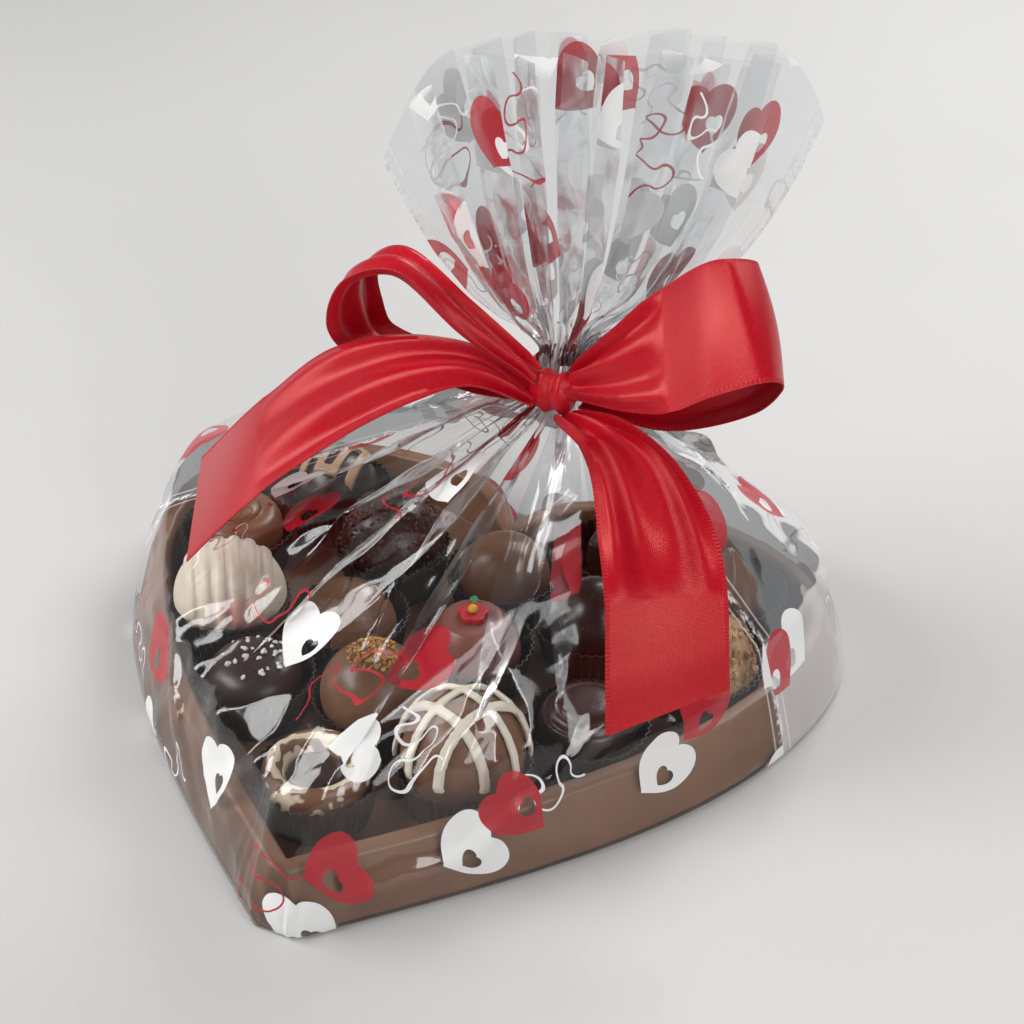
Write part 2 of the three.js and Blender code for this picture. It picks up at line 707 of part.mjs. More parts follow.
/** The outer skin of the whole bag, ring by ring: bottom fold, wall, tent, gathered neck and open fan. */
function bagRings() {
  const out = seatGap + filmSlack + film;
  const heel = bagLine(baseFlare + out - heelTuck);
  const fold = mix(heel[0].y, heel[frontColumns - 1].y, 0.5);
  const columns = bagColumns(heel.length);
  const flat = (line, z) => line.map((p) => new THREE.Vector3(p.x, p.y, z));
  const rim = flat(bagLine(out + rimSlack), rimTop);
  const neck = neckRing(columns, neckRadius, neckFlute, neckBottom);
  const shoulder = rim.map((p, k) => p.clone().lerp(neck[k], shoulderInset).setZ(shoulderHeight));
  const tent = (share, row) => shoulder.map((p, k) => {
    const along = shoulder[(k + 1) % rim.length].clone().sub(shoulder[(k + rim.length - 1) % rim.length]);
    const outward = along.cross(neck[k].clone().sub(p)).normalize();
    const fold = columns[k].pleat > 0 ? tentPleat * tentPleating[row] : 0;
    return p.clone().lerp(neck[k], share).addScaledVector(outward, fold);
  });
  return [
    heel.map((p) => new THREE.Vector3(THREE.MathUtils.clamp(p.x, heel[0].x, -heel[0].x), fold, 0)),
    flat(heel, 0),
    flat(bagLine(baseFlare + out), 0.8),
    rim,
    shoulder,
    ...tentRows.map(tent),
    neck,
    neckRing(columns, neckRadius, neckFlute, neckTop),
    ...fanRows.map((up) => fanRing(columns, up)),
  ];
}

/** The inner skin: one film thickness inside the outer one, but drawn together to a core in the neck. */
function bagLining(rings) {
  const columns = bagColumns(rings[0].length);
  const neckRow = 5 + tentRows.length;
  return rings.map((ring, r) => {
    if (r === neckRow || r === neckRow + 1) return neckRing(columns, neckCore, 0, ring[0].z);
    return ring.map((p, k) => {
      if (r < 2) return p.clone().setZ(film);
      const up = rings[Math.min(r + 1, rings.length - 1)][k].clone().sub(rings[r - 1][k]);
      const along = ring[(k + 1) % ring.length].clone().sub(ring[(k + ring.length - 1) % ring.length]);
      return p.clone().addScaledVector(up.cross(along).normalize(), film);
    });
  });
}

/** Adds the front and the back of the bag, parted by a hair along the welds and under the tray. */
function filmBag() {
  const outer = bagRings();
  const inner = bagLining(outer);
  const part = (rings, front) => rings.map((ring) => {
    const cut = front ? ring.slice(0, frontColumns) : [...ring.slice(frontColumns - 1), ring[0]];
    return cut.map((p) => p.clone().setY(p.y + (front ? -1 : 1) * seatGap / 2));
  });
  for (const front of [true, false]) {
    add(front ? 'film_front' : 'film_back', shell(part(outer, front), part(inner, front)), clearFilm);
  }
}
filmBag();

// The ribbon bow, in front of the neck. Its edges' places are taken from the middle of the knot
const bandRadius = neckRadius + neckFlute + ribbonGap;
const knot = new THREE.Vector3(
  neckX + knotShift,
  neckY - bandRadius - ribbon - seatGap - knotDepth / 2 + knotSink,
  tieHeight,
);

/** The knot, a fat flattened roll of ribbon with a waist. */
function knotSolid(swell) {
  const sphere = new THREE.SphereGeometry(1, 16, 10);
  const position = sphere.attributes.position;
  for (let i = 0; i < position.count; i++) {
    const [x, y, z] = [position.getX(i), position.getY(i), position.getZ(i)];
    const waist = 1 - knotWaist * Math.cos(3 * Math.asin(Math.max(-1, Math.min(1, y))));
    position.setXYZ(i, x * (knotWidth / 2 + swell) * waist, z * (knotDepth / 2 + swell),
      y * (knotHeight / 2 + swell));
  }
  return sphere.scale(1, -1, 1).translate(knot.x, knot.y, knot.z);
}

/** The band of ribbon pulled tight round the gathered neck. */
function neckBand() {
  const low = tieHeight - bandHeight / 2;
  const high = tieHeight + bandHeight / 2;
  const outer = bandRadius + ribbon;
  const ring = [[bandRadius, low], [outer, low + bandRound], [outer, high - bandRound], [bandRadius, high],
    [bandRadius, low]];
  return revolve(ring, 24).translate(neckX, neckY, 0);
}

/** A length of ribbon between two edges, each a smooth curve through its own places. */
function ribbonSheet(pairs, steps, crown) {
  const across = 4;
  const edge = (which) => new THREE.CatmullRomCurve3(
    pairs.map((pair) => new THREE.Vector3(...pair[which]).add(knot)), false, 'centripetal');
  const [near, far] = [edge(0), edge(1)];
  const middle = [];
  for (let i = 0; i <= steps; i++) {
    const t = i / steps;
    const [a, b] = [near.getPoint(t), far.getPoint(t)];
    middle.push(Array.from({ length: across + 1 }, (_, k) => a.clone().lerp(b, k / across)));
  }
  const normals = gridNormals(middle);
  const lifted = middle.map((row, r) => row.map((p, k) => {
    const bulge = crown * Math.sin((Math.PI * k) / across) * Math.sin((Math.PI * r) / steps);
    return p.clone().addScaledVector(normals[r][k], bulge);
  }));
  const facing = gridNormals(lifted);
  const skin = (side) => lifted.map((row, r) => row.map((p, k) => p.clone().addScaledVector(facing[r][k],
    (side * ribbon) / 2)));
  return shell(skin(1), skin(-1));
}

const loopLeft = [
  [[-6, -6, 4], [-6, 2, 6]],
  [[-20, -11, 17.4], [-25, 4, 20]],
  [[-37.5, -14, 33.5], [-45.5, 11, 26.5]],
  [[-51, -12, 28], [-56, 15, 18]],
  [[-61, -4, 11], [-60, 24, 2]],
  [[-63, 6, -3], [-59, 30, -11]],
  [[-46, 11, -9], [-43, 28, -14]],
  [[-24, 4, -7], [-22, 15, -9]],
  [[-7, 0, -3], [-7, 5, -4]],
];
const loopRight = [
  [[6, -4, 2], [5, 2, 6]],
  [[22, -11, 6], [14.5, 3, 19]],
  [[36.5, -16, 12], [26, 7, 32]],
  [[48, -19, 21], [38.5, 4, 44]],
  [[61, -18, 27.5], [44, 4, 46]],
  [[63, -10, 22], [49, 11, 42]],
  [[55, -3, 8], [42, 15, 30]],
  [[31, 0, -5], [22, 15, 12]],
  [[7, 1, -4], [7, 4, 3]],
];
const tailLeft = [
  [[-6, -6, -2], [-7, -1, 2]],
  [[-18, -13, 4], [-21, 1, 9]],
  [[-31, -17, -1], [-44, 2, 7]],
  [[-55.4, -20, -19], [-66, 4, -4]],
  [[-77, -26, -38], [-87, 2, -25]],
  [[-97, -28, -62], [-113, 13, -57]],
];
const tailRight = [
  [[1, -3, -6], [6, -2, -4]],
  [[10, -12, -5], [22, -6, -1]],
  [[14.5, -13, -14], [36, -9, -6]],
  [[21.5, -24, -26], [48, -12, -22]],
  [[28, -37, -34], [55, -20, -35.5]],
  [[31.4, -45, -50], [58, -26, -48]],
  [[33.6, -50, -66.5], [59.5, -28, -60]],
];

/** Adds the band, the knot, the two loops and the two tails. */
function bow() {
  const band = solid(neckBand());
  const grip = solid(knotSolid(seatGap)).add(solid(neckBand()));
  add('neck_band', geometryOf(band.subtract(solid(knotSolid(seatGap)))), satin);
  add('bow_knot', knotSolid(0), satin);
  const [loopSteps, tailSteps] = [20, 12];
  const lengths = [['bow_loop_left', loopLeft, loopSteps, ribbonCrown],
    ['bow_loop_right', loopRight, loopSteps, -ribbonCrown],
    ['bow_tail_left', tailLeft, tailSteps, ribbonCrown],
    ['bow_tail_right', tailRight, tailSteps, ribbonCrown]];
  for (const [name, pairs, steps, crown] of lengths) {
    add(name, geometryOf(solid(ribbonSheet(pairs, steps, crown)).subtract(grip)), satin);
  }
}
bow();

export default box;
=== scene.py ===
"""Dresses a gift of chocolates: a moulded heart tray, paper cups, chocolates, a film bag and a ribbon bow.

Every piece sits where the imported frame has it. Lengths are written in millimetres and turned into metres.
"""

import logging
import math
import random
from collections.abc import Callable, Iterator, Sequence
from contextlib import contextmanager
from dataclasses import dataclass, field
from enum import Enum

import bmesh
import bpy
from mathutils import Matrix, Vector, noise


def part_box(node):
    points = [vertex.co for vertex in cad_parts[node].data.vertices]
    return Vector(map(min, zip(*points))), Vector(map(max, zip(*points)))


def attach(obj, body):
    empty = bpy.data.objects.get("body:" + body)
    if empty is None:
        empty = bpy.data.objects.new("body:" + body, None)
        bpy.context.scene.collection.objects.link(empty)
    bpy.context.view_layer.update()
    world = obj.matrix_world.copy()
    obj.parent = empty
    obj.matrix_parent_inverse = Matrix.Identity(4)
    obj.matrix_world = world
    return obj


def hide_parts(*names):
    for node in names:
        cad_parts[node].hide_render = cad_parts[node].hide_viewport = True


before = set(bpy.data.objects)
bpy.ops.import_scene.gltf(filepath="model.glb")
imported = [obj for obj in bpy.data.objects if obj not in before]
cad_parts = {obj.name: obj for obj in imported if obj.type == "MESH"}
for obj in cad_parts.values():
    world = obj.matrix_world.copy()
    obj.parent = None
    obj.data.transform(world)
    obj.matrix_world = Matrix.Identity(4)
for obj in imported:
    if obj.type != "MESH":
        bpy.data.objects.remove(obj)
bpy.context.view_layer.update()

MM = 0.001
RIBBON_WIDTH = 32.0
log = logging.getLogger("chocolates")

TINY = 1e-9
FULL_TURN = 6.283

Colour = tuple[float, float, float]
Point = tuple[float, float, float]
Fold = tuple[float, float, float]
Crease = tuple[Vector, Vector, float, float]
Row = list[Vector]
Socket = bpy.types.NodeSocket


class Body(Enum):
    """The root body that carries the tray, the cups, the film and the ribbon."""

    GIFT = "gift"


class Slot(Enum):
    """The record's material slots."""

    MILK = "milk_chocolate"
    DARK = "dark_chocolate"
    WHITE = "white_chocolate"
    CARAMEL = "caramel_nut"
    PAPER = "paper_cup"
    FILM = "clear_film"
    SATIN = "satin_ribbon"
    RED_ICING = "red_icing"
    GREEN_ICING = "green_icing"
    YELLOW_ICING = "yellow_icing"


# Editing helpers


def select_only(*objects: bpy.types.Object) -> None:
    """Selects these objects alone and makes the first one active.

    Args:
        objects: The objects to select.
    """
    if bpy.context.object is not None and bpy.context.object.mode != "OBJECT":
        bpy.ops.object.mode_set(mode="OBJECT")
    bpy.ops.object.select_all(action="DESELECT")
    for obj in objects:
        obj.select_set(True)
    bpy.context.view_layer.objects.active = objects[0]


@contextmanager
def editing(obj: bpy.types.Object) -> Iterator[None]:
    """Holds an object in edit mode with its whole mesh selected.

    Args:
        obj: The mesh object to edit.
    """
    select_only(obj)
    bpy.ops.object.mode_set(mode="EDIT")
    bpy.ops.mesh.select_all(action="SELECT")
    yield
    bpy.ops.object.mode_set(mode="OBJECT")


def applied(obj: bpy.types.Object, kind: str, **settings: object) -> bpy.types.Object:
    """Adds a modifier with the given settings and applies it.

    Args:
        obj: The mesh object.
        kind: The modifier's type.
        settings: Its settings by name.

    Returns:
        The same object.
    """
    modifier = obj.modifiers.new(kind.lower(), kind)
    for key, value in settings.items():
        setattr(modifier, key, value)
    select_only(obj)
    bpy.ops.object.modifier_apply(modifier=modifier.name)
    return obj


def linked(name: str, data: bpy.types.ID) -> bpy.types.Object:
    """Puts a new object in the scene.

    Args:
        name: The object's name.
        data: Its mesh, light or camera.

    Returns:
        The new object, at the origin.
    """
    obj = bpy.data.objects.new(name, data)
    bpy.context.scene.collection.objects.link(obj)
    return obj


def copied(node: str, name: str) -> bpy.types.Object:
    """A merged copy of a frame node's mesh, with its triangles paired into quads.

    Args:
        node: The node to copy.
        name: The new piece's name.

    Returns:
        The new object, at the origin.
    """
    obj = linked(name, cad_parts[node].data.copy())
    obj.data.materials.clear()
    bend, skew = math.radians(40), math.radians(60)
    with editing(obj):
        bpy.ops.mesh.remove_doubles(threshold=0.002 * MM)
        bpy.ops.mesh.tris_convert_to_quads(face_threshold=bend, shape_threshold=skew)
    return obj


def grid_piece(name: str, rows: Sequence[Row]) -> bpy.types.Object:
    """A sheet of quads through rows of points.

    Args:
        name: The piece's name.
        rows: The points, row by row, in metres.

    Returns:
        The new mesh object.
    """
    wide = len(rows[0])
    faces = [
        [r * wide + c + corner for corner in (0, 1, wide + 1, wide)]
        for r in range(len(rows) - 1)
        for c in range(wide - 1)
    ]
    mesh = bpy.data.meshes.new(name)
    mesh.from_pydata([p for row in rows for p in row], [], faces)
    mesh.update()
    return linked(name, mesh)


def map_sheet(obj: bpy.types.Object, wide: int, flat: Callable[[int, int], tuple[float, float]]) -> None:
    """Gives a grid sheet the UV map of its flat cut, in metres.

    Args:
        obj: The sheet made by grid_piece.
        wide: The number of points in a row.
        flat: Gives the flat place of the point in a row and column.
    """
    layer = obj.data.uv_layers.new(name="flat")
    for loop in obj.data.loops:
        row, column = divmod(loop.vertex_index, wide)
        layer.data[loop.index].uv = flat(row, column)


def smooth(obj: bpy.types.Object, angle: float = 40.0) -> None:
    """Shades a piece smooth up to an angle in degrees."""
    select_only(obj)
    bpy.ops.object.shade_smooth_by_angle(angle=math.radians(angle))


def dress(
    obj: bpy.types.Object,
    material: bpy.types.Material,
    slot: Slot,
    body: str = Body.GIFT.value,
    stands_for: Sequence[str] = (),
) -> bpy.types.Object:
    """Gives a finished piece its material and the body that it rides on.

    Args:
        obj: The piece.
        material: Its material.
        slot: The record's slot; not used.
        body: The body that carries it.
        stands_for: The frame nodes that it replaces.

    Returns:
        The same object.
    """
    obj.data.materials.clear()
    obj.data.materials.append(material)
    if stands_for:
        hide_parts(*stands_for)
    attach(obj, body)
    log.info("%s: %d faces on %s", obj.name, len(obj.data.polygons), body)
    return obj


def catmull(points: Sequence[Vector], t: float) -> Vector:
    """A centripetal curve through points.

    Args:
        points: The points, at least two.
        t: The share of the way along, from 0 to 1.

    Returns:
        The point on the curve.
    """
    last = len(points) - 1
    place = clamp(t) * last
    k = min(int(place), last - 1)
    u = place - k
    p1, p2 = points[k], points[k + 1]
    p0 = points[k - 1] if k > 0 else p1 + (p1 - p2)
    p3 = points[k + 2] if k + 2 <= last else p2 + (p2 - p1)
    gaps = [max((b - a).length ** 0.5, 1e-6) for a, b in ((p0, p1), (p1, p2), (p2, p3))]
    m1 = (p1 - p0) / gaps[0] - (p2 - p0) / (gaps[0] + gaps[1]) + (p2 - p1) / gaps[1]
    m2 = (p2 - p1) / gaps[1] - (p3 - p1) / (gaps[1] + gaps[2]) + (p3 - p2) / gaps[2]
    m1, m2 = m1 * gaps[1], m2 * gaps[1]
    return (
        p1 * (2 * u**3 - 3 * u**2 + 1) + m1 * (u**3 - 2 * u**2 + u)
        + p2 * (-2 * u**3 + 3 * u**2) + m2 * (u**3 - u**2)
    )


def lerp(a: float, b: float, t: float) -> float:
    """The value a share t of the way from a to b."""
    return a + (b - a) * t


def clamp(value: float, low: float = 0.0, high: float = 1.0) -> float:
    """The value kept between low and high."""
    return min(max(value, low), high)


def bezier(knots: Row, t: float) -> Vector:
    """A plane Bezier curve.

    Args:
        knots: Its control points.
        t: The share of the way along, from 0 to 1.

    Returns:
        The point on the curve.
    """
    last = len(knots) - 1
    parts = (knot * math.comb(last, k) * (1 - t) ** (last - k) * t**k for k, knot in enumerate(knots))
    return sum(parts, Vector((0, 0)))


def run_lengths(points: Sequence[Vector]) -> list[float]:
    """How far along a line of points each of them is.

    Args:
        points: The points in order.

    Returns:
        A length for each point, 0 for the first.
    """
    lengths = [0.0]
    for a, b in zip(points, points[1:]):
        lengths.append(lengths[-1] + (b - a).length)
    return lengths


def normal_at(rows: Sequence[Row], r: int, c: int) -> Vector:
    """A grid sheet's normal at one of its points.

    Args:
        rows: The sheet's points.
        r: The point's row.
        c: Its column.

    Returns:
        The unit normal, or no direction where the sheet has no area.
    """
    along = rows[r][min(c + 1, len(rows[r]) - 1)] - rows[r][max(c - 1, 0)]
    up = rows[min(r + 1, len(rows) - 1)][c] - rows[max(r - 1, 0)][c]
    normal = along.cross(up)
    return normal.normalized() if normal.length > TINY else Vector()


def ridge(x: float) -> float:
    """A zigzag between -1 and 1 with a period of 1."""
    return 4 * abs((x + 0.25) % 1 - 0.5) - 1


def wander(x: float, y: float, seed: float) -> float:
    """A smooth random value from about -1 to 1."""
    return noise.noise(Vector((x, y, seed)))


# Shader helpers


class Graph:
    """A node tree under construction."""

    def __init__(self, tree: bpy.types.NodeTree) -> None:
        """Keeps the tree and clears it."""
        self.tree = tree
        self.tree.nodes.clear()

    def node(self, kind: str, **sockets: object) -> bpy.types.Node:
        """Adds a node and sets or links its inputs.

        Args:
            kind: The node's type.
            sockets: Inputs by name with underscores for spaces, or attributes in lower case.

        Returns:
            The new node.
        """
        made = self.tree.nodes.new(kind)
        for key, value in sockets.items():
            if key[0].islower():
                setattr(made, key, value)
        for key, value in sockets.items():
            if not key[0].islower():
                self.feed(made.inputs[key.replace("_", " ")], value)
        return made

    def feed(self, socket: Socket, value: object) -> None:
        """Sets a socket to a value, or links it to an output."""
        if isinstance(value, Socket):
            self.tree.links.new(value, socket)
        elif isinstance(value, tuple) and len(value) == 3 and socket.type == "RGBA":
            socket.default_value = (*value, 1)
        else:
            socket.default_value = value

    def math(self, operation: str, a: object, b: object = 0.0, c: object = 0.0) -> Socket:
        """A Math node's output.

        Args:
            operation: The operation's name.
            a: The first input.
            b: The second input.
            c: The third input.

        Returns:
            The output socket.
        """
        made = self.tree.nodes.new("ShaderNodeMath")
        made.operation = operation
        for socket, value in zip(made.inputs, (a, b, c)):
            self.feed(socket, value)
        return made.outputs[0]

    def add(self, a: object, b: object) -> Socket:
        """The sum of two inputs."""
        return self.math("ADD", a, b)

    def sub(self, a: object, b: object) -> Socket:
        """The first input less the second."""
        return self.math("SUBTRACT", a, b)

    def mul(self, a: object, b: object) -> Socket:
        """The product of two inputs."""
        return self.math("MULTIPLY", a, b)

    def div(self, a: object, b: object) -> Socket:
        """The first input over the second."""
        return self.math("DIVIDE", a, b)

    def turned(self, x: object, y: object, angle: object) -> tuple[Socket, Socket]:
        """A place in the plane, seen from a turned frame.

        Args:
            x: Its first coordinate.
            y: Its second coordinate.
            angle: The frame's turn in radians.

        Returns:
            Its two coordinates in that frame.
        """
        sine, cosine = self.math("SINE", angle), self.math("COSINE", angle)
        return (
            self.add(self.mul(x, cosine), self.mul(y, sine)),
            self.sub(self.mul(y, cosine), self.mul(x, sine)),
        )

    def bump(self, height: Socket, distance: float, strength: float) -> Socket:
        """The normal of a surface that a height raises."""
        return self.node("ShaderNodeBump", Height=height, Distance=distance, Strength=strength).outputs[0]

    def coat(self, out: bpy.types.Node, **sockets: object) -> None:
        """Gives a material's output one principled surface with these inputs."""
        skin = self.node("ShaderNodeBsdfPrincipled", **sockets)
        self.feed(out.inputs[0], skin.outputs[0])

    def blend(self, mask: object, a: object, b: object) -> Socket:
        """The colour a where the mask is 0 and b where it is 1.

        Args:
            mask: The mask.
            a: The first colour.
            b: The second colour.

        Returns:
            The mixed colour.
        """
        made = self.tree.nodes.new("ShaderNodeMix")
        made.data_type = "RGBA"
        self.feed(made.inputs[0], mask)
        self.feed(made.inputs[6], a)
        self.feed(made.inputs[7], b)
        return made.outputs[2]

    def band(self, value: object, low: float, high: float) -> Socket:
        """A smooth step of a value from 0 at low to 1 at high."""
        made = self.tree.nodes.new("ShaderNodeMapRange")
        made.interpolation_type = "SMOOTHSTEP"
        self.feed(made.inputs[0], value)
        made.inputs[1].default_value = low
        made.inputs[2].default_value = high
        return made.outputs[0]


def new_group(name: str, numbers: dict[str, float], outputs: Sequence[str]) -> Graph:
    """A new shader node group with a Vector input, number inputs and number outputs.

    Args:
        name: The group's name.
        numbers: The number inputs' names and defaults.
        outputs: The outputs' names.

    Returns:
        The group's graph, with its input and output nodes named enter and leave.
    """
    tree = bpy.data.node_groups.new(name, "ShaderNodeTree")
    tree.interface.new_socket(name="Vector", in_out="INPUT", socket_type="NodeSocketVector")
    for label, default in numbers.items():
        socket = tree.interface.new_socket(name=label, in_out="INPUT", socket_type="NodeSocketFloat")
        socket.default_value = default
    for label in outputs:
        tree.interface.new_socket(name=label, in_out="OUTPUT", socket_type="NodeSocketFloat")
    graph = Graph(tree)
    graph.enter = tree.nodes.new("NodeGroupInput")
    graph.leave = tree.nodes.new("NodeGroupOutput")
    return graph


def placed(graph: Graph, group: bpy.types.NodeTree, **sockets: object) -> bpy.types.Node:
    """Places a node group in a material and feeds its inputs.

    Args:
        graph: The material's graph.
        group: The node group.
        sockets: Its inputs by name, with underscores for spaces.

    Returns:
        The group node.
    """
    made = graph.tree.nodes.new("ShaderNodeGroup")
    made.node_tree = group
    for key, value in sockets.items():
        graph.feed(made.inputs[key.replace("_", " ")], value)
    return made


def mottle_group() -> bpy.types.NodeTree:
    """Cloudy colour change and fine surface grain, by object coordinates.

    Returns:
        A group with a Mask and a Height.
    """
    graph = new_group("SurfaceMottle", {"Cloud Scale": 60.0, "Grain Scale": 900.0}, ["Mask", "Height"])
    enter, leave = graph.enter, graph.leave
    cloud = graph.node("ShaderNodeTexNoise", Vector=enter.outputs[0], Scale=enter.outputs[1], Detail=4.0)
    grain = graph.node("ShaderNodeTexNoise", Vector=enter.outputs[0], Scale=enter.outputs[2], Detail=3.0)
    graph.feed(leave.inputs[0], graph.band(cloud.outputs[0], 0.3, 0.7))
    graph.feed(leave.inputs[1], graph.add(cloud.outputs[0], graph.mul(grain.outputs[0], 0.35)))
    return graph.tree


def weave_group() -> bpy.types.NodeTree:
    """A satin weave's fine threads and the stitched edges of a ribbon, by its flat UV map in metres.

    Returns:
        A group with a thread Height, a thread Mask and an Edge mask.
    """
    graph = new_group("SatinWeave", {"Thread": 0.00035, "Width": 0.032}, ["Height", "Mask", "Edge"])
    enter, leave = graph.enter, graph.leave
    split = graph.node("ShaderNodeSeparateXYZ", Vector=enter.outputs[0])
    turns = graph.div(FULL_TURN, enter.outputs[1])
    weft = graph.math("SINE", graph.mul(split.outputs[1], turns))
    warp = graph.math("SINE", graph.mul(split.outputs[0], graph.mul(turns, 0.6)))
    threads = graph.add(weft, graph.mul(warp, 0.5))
    slub = graph.node("ShaderNodeTexNoise", Vector=enter.outputs[0], Scale=700.0, Detail=3.0)
    half = graph.mul(enter.outputs[2], 0.5)
    reach = graph.div(graph.math("ABSOLUTE", graph.sub(split.outputs[0], half)), half)
    edge = graph.band(reach, 0.92, 0.95)
    stitch = graph.math("SINE", graph.mul(split.outputs[1], FULL_TURN / MM))
    stitch = graph.mul(graph.mul(stitch, edge), 6.0)
    rough = graph.mul(slub.outputs[0], 0.4)
    graph.feed(leave.inputs[0], graph.add(graph.add(threads, rough), stitch))
    graph.feed(leave.inputs[1], graph.band(slub.outputs[0], 0.35, 0.65))
    graph.feed(leave.inputs[2], edge)
    return graph.tree


def heart_print_group() -> bpy.types.NodeTree:
    """Hearts scattered one to a cell, each turned and pierced by a small heart of its own.

    Returns:
        A group with a Mask.
    """
    sizes = {"Cell": 0.05, "Size": 0.011, "Seed": 0.0, "Share": 0.7}
    graph = new_group("ScatteredHearts", sizes, ["Mask"])
    enter, leave = graph.enter, graph.leave
    split = graph.node("ShaderNodeSeparateXYZ", Vector=enter.outputs[0])
    across = graph.div(split.outputs[0], enter.outputs[1])
    along = graph.div(split.outputs[1], enter.outputs[1])
    along = graph.add(along, graph.mul(graph.math("FLOOR", across), 0.5))
    cell = graph.node("ShaderNodeCombineXYZ", X=graph.math("FLOOR", across), Y=graph.math("FLOOR", along),
                      Z=enter.outputs[3])
    dice = graph.node("ShaderNodeTexWhiteNoise", noise_dimensions="3D", Vector=cell.outputs[0])
    shades = graph.node("ShaderNodeSeparateColor", Color=dice.outputs["Color"])
    wobble = [graph.mul(graph.sub(shades.outputs[i], 0.5), 0.36) for i in (0, 1)]
    x = graph.sub(graph.sub(graph.math("FRACT", across), 0.5), wobble[0])
    y = graph.sub(graph.sub(graph.math("FRACT", along), 0.5), wobble[1])
    turn = graph.mul(graph.sub(shades.outputs[2], 0.5), 2.4)
    scale = graph.div(enter.outputs[1], enter.outputs[2])

    def heart(left: object, up: object, shrink: float, sideways: float, lift: float) -> Socket:
        """The inside of a heart curve in a turned, shrunk and moved frame."""
        hx = graph.mul(graph.sub(left, sideways), shrink)
        hy = graph.mul(graph.sub(up, lift), shrink)
        xx, yy = graph.mul(hx, hx), graph.mul(hy, hy)
        ring = graph.sub(graph.add(xx, yy), 1.0)
        cube = graph.mul(graph.mul(ring, ring), ring)
        notch = graph.mul(xx, graph.mul(yy, hy))
        return graph.sub(notch, cube)

    left, up = (graph.mul(part, scale) for part in graph.turned(x, y, turn))
    outer = graph.math("GREATER_THAN", heart(left, up, 1.0, 0.0, 0.0), 0.0)
    inner = graph.math("GREATER_THAN", heart(left, up, 3.4, 0.3, -0.15), 0.0)
    whole = graph.mul(outer, graph.sub(1.0, inner))
    kept = graph.math("LESS_THAN", dice.outputs["Value"], enter.outputs[4])
    graph.feed(leave.inputs[0], graph.mul(whole, kept))
    return graph.tree


def curl_print_group() -> bpy.types.NodeTree:
    """Thin looped lines, one to a cell, each turned its own way.

    Returns:
        A group with a Mask.
    """
    graph = new_group("PrintedCurls", {"Cell": 0.046, "Line": 0.0007, "Share": 0.5}, ["Mask"])
    enter, leave = graph.enter, graph.leave
    split = graph.node("ShaderNodeSeparateXYZ", Vector=enter.outputs[0])
    across = graph.div(split.outputs[0], enter.outputs[1])
    along = graph.div(split.outputs[1], enter.outputs[1])
    column, row = graph.math("FLOOR", across), graph.math("FLOOR", along)
    cell = graph.node("ShaderNodeCombineXYZ", X=column, Y=row, Z=7.0)
    dice = graph.node("ShaderNodeTexWhiteNoise", noise_dimensions="3D", Vector=cell.outputs[0])
    shades = graph.node("ShaderNodeSeparateColor", Color=dice.outputs["Color"])
    waver = graph.node("ShaderNodeTexNoise", Vector=enter.outputs[0], Scale=70.0, Detail=0.0)
    sway = graph.node("ShaderNodeSeparateColor", Color=waver.outputs["Color"])
    x, y = (
        graph.sub(graph.add(graph.math("FRACT", place), graph.mul(sway.outputs[axis], 0.3)), 0.65)
        for axis, place in enumerate((across, along))
    )
    long, side = graph.turned(x, y, graph.mul(shades.outputs[0], FULL_TURN))
    radius, rise, step = 0.068, 0.034, 0.1178
    near = None
    for shift, way in ((0.0, 1.0), (step, -1.0)):
        along = graph.sub(graph.math("WRAP", graph.add(long, shift), 2 * step, 0.0), step)
        up = graph.sub(graph.mul(side, way), rise)
        ring = graph.math("SQRT", graph.add(graph.mul(along, along), graph.mul(up, up)))
        away = graph.math("ABSOLUTE", graph.sub(ring, radius))
        lean = graph.mul(graph.math("ABSOLUTE", along), 2 * rise / step)
        under = graph.math("LESS_THAN", graph.add(up, lean), 0.0)
        away = graph.add(away, under)
        near = away if near is None else graph.math("MINIMUM", near, away)
    metres = graph.mul(near, enter.outputs[1])
    line = graph.math("LESS_THAN", metres, graph.mul(enter.outputs[2], 0.5))
    inside = graph.math("LESS_THAN", graph.math("ABSOLUTE", long), 0.25)
    kept = graph.math("LESS_THAN", dice.outputs["Value"], enter.outputs[3])
    graph.feed(leave.inputs[0], graph.mul(graph.mul(line, inside), kept))
    return graph.tree


MOTTLE = mottle_group()
WEAVE = weave_group()
HEARTS = heart_print_group()
CURLS = curl_print_group()


def new_material(name: str) -> tuple[bpy.types.Material, Graph, bpy.types.Node]:
    """A material with its graph and output node.

    Args:
        name: The material's name.

    Returns:
        The material, its graph and its output node.
    """
    material = bpy.data.materials.new(name)
    material.use_nodes = True
    graph = Graph(material.node_tree)
    return material, graph, graph.tree.nodes.new("ShaderNodeOutputMaterial")


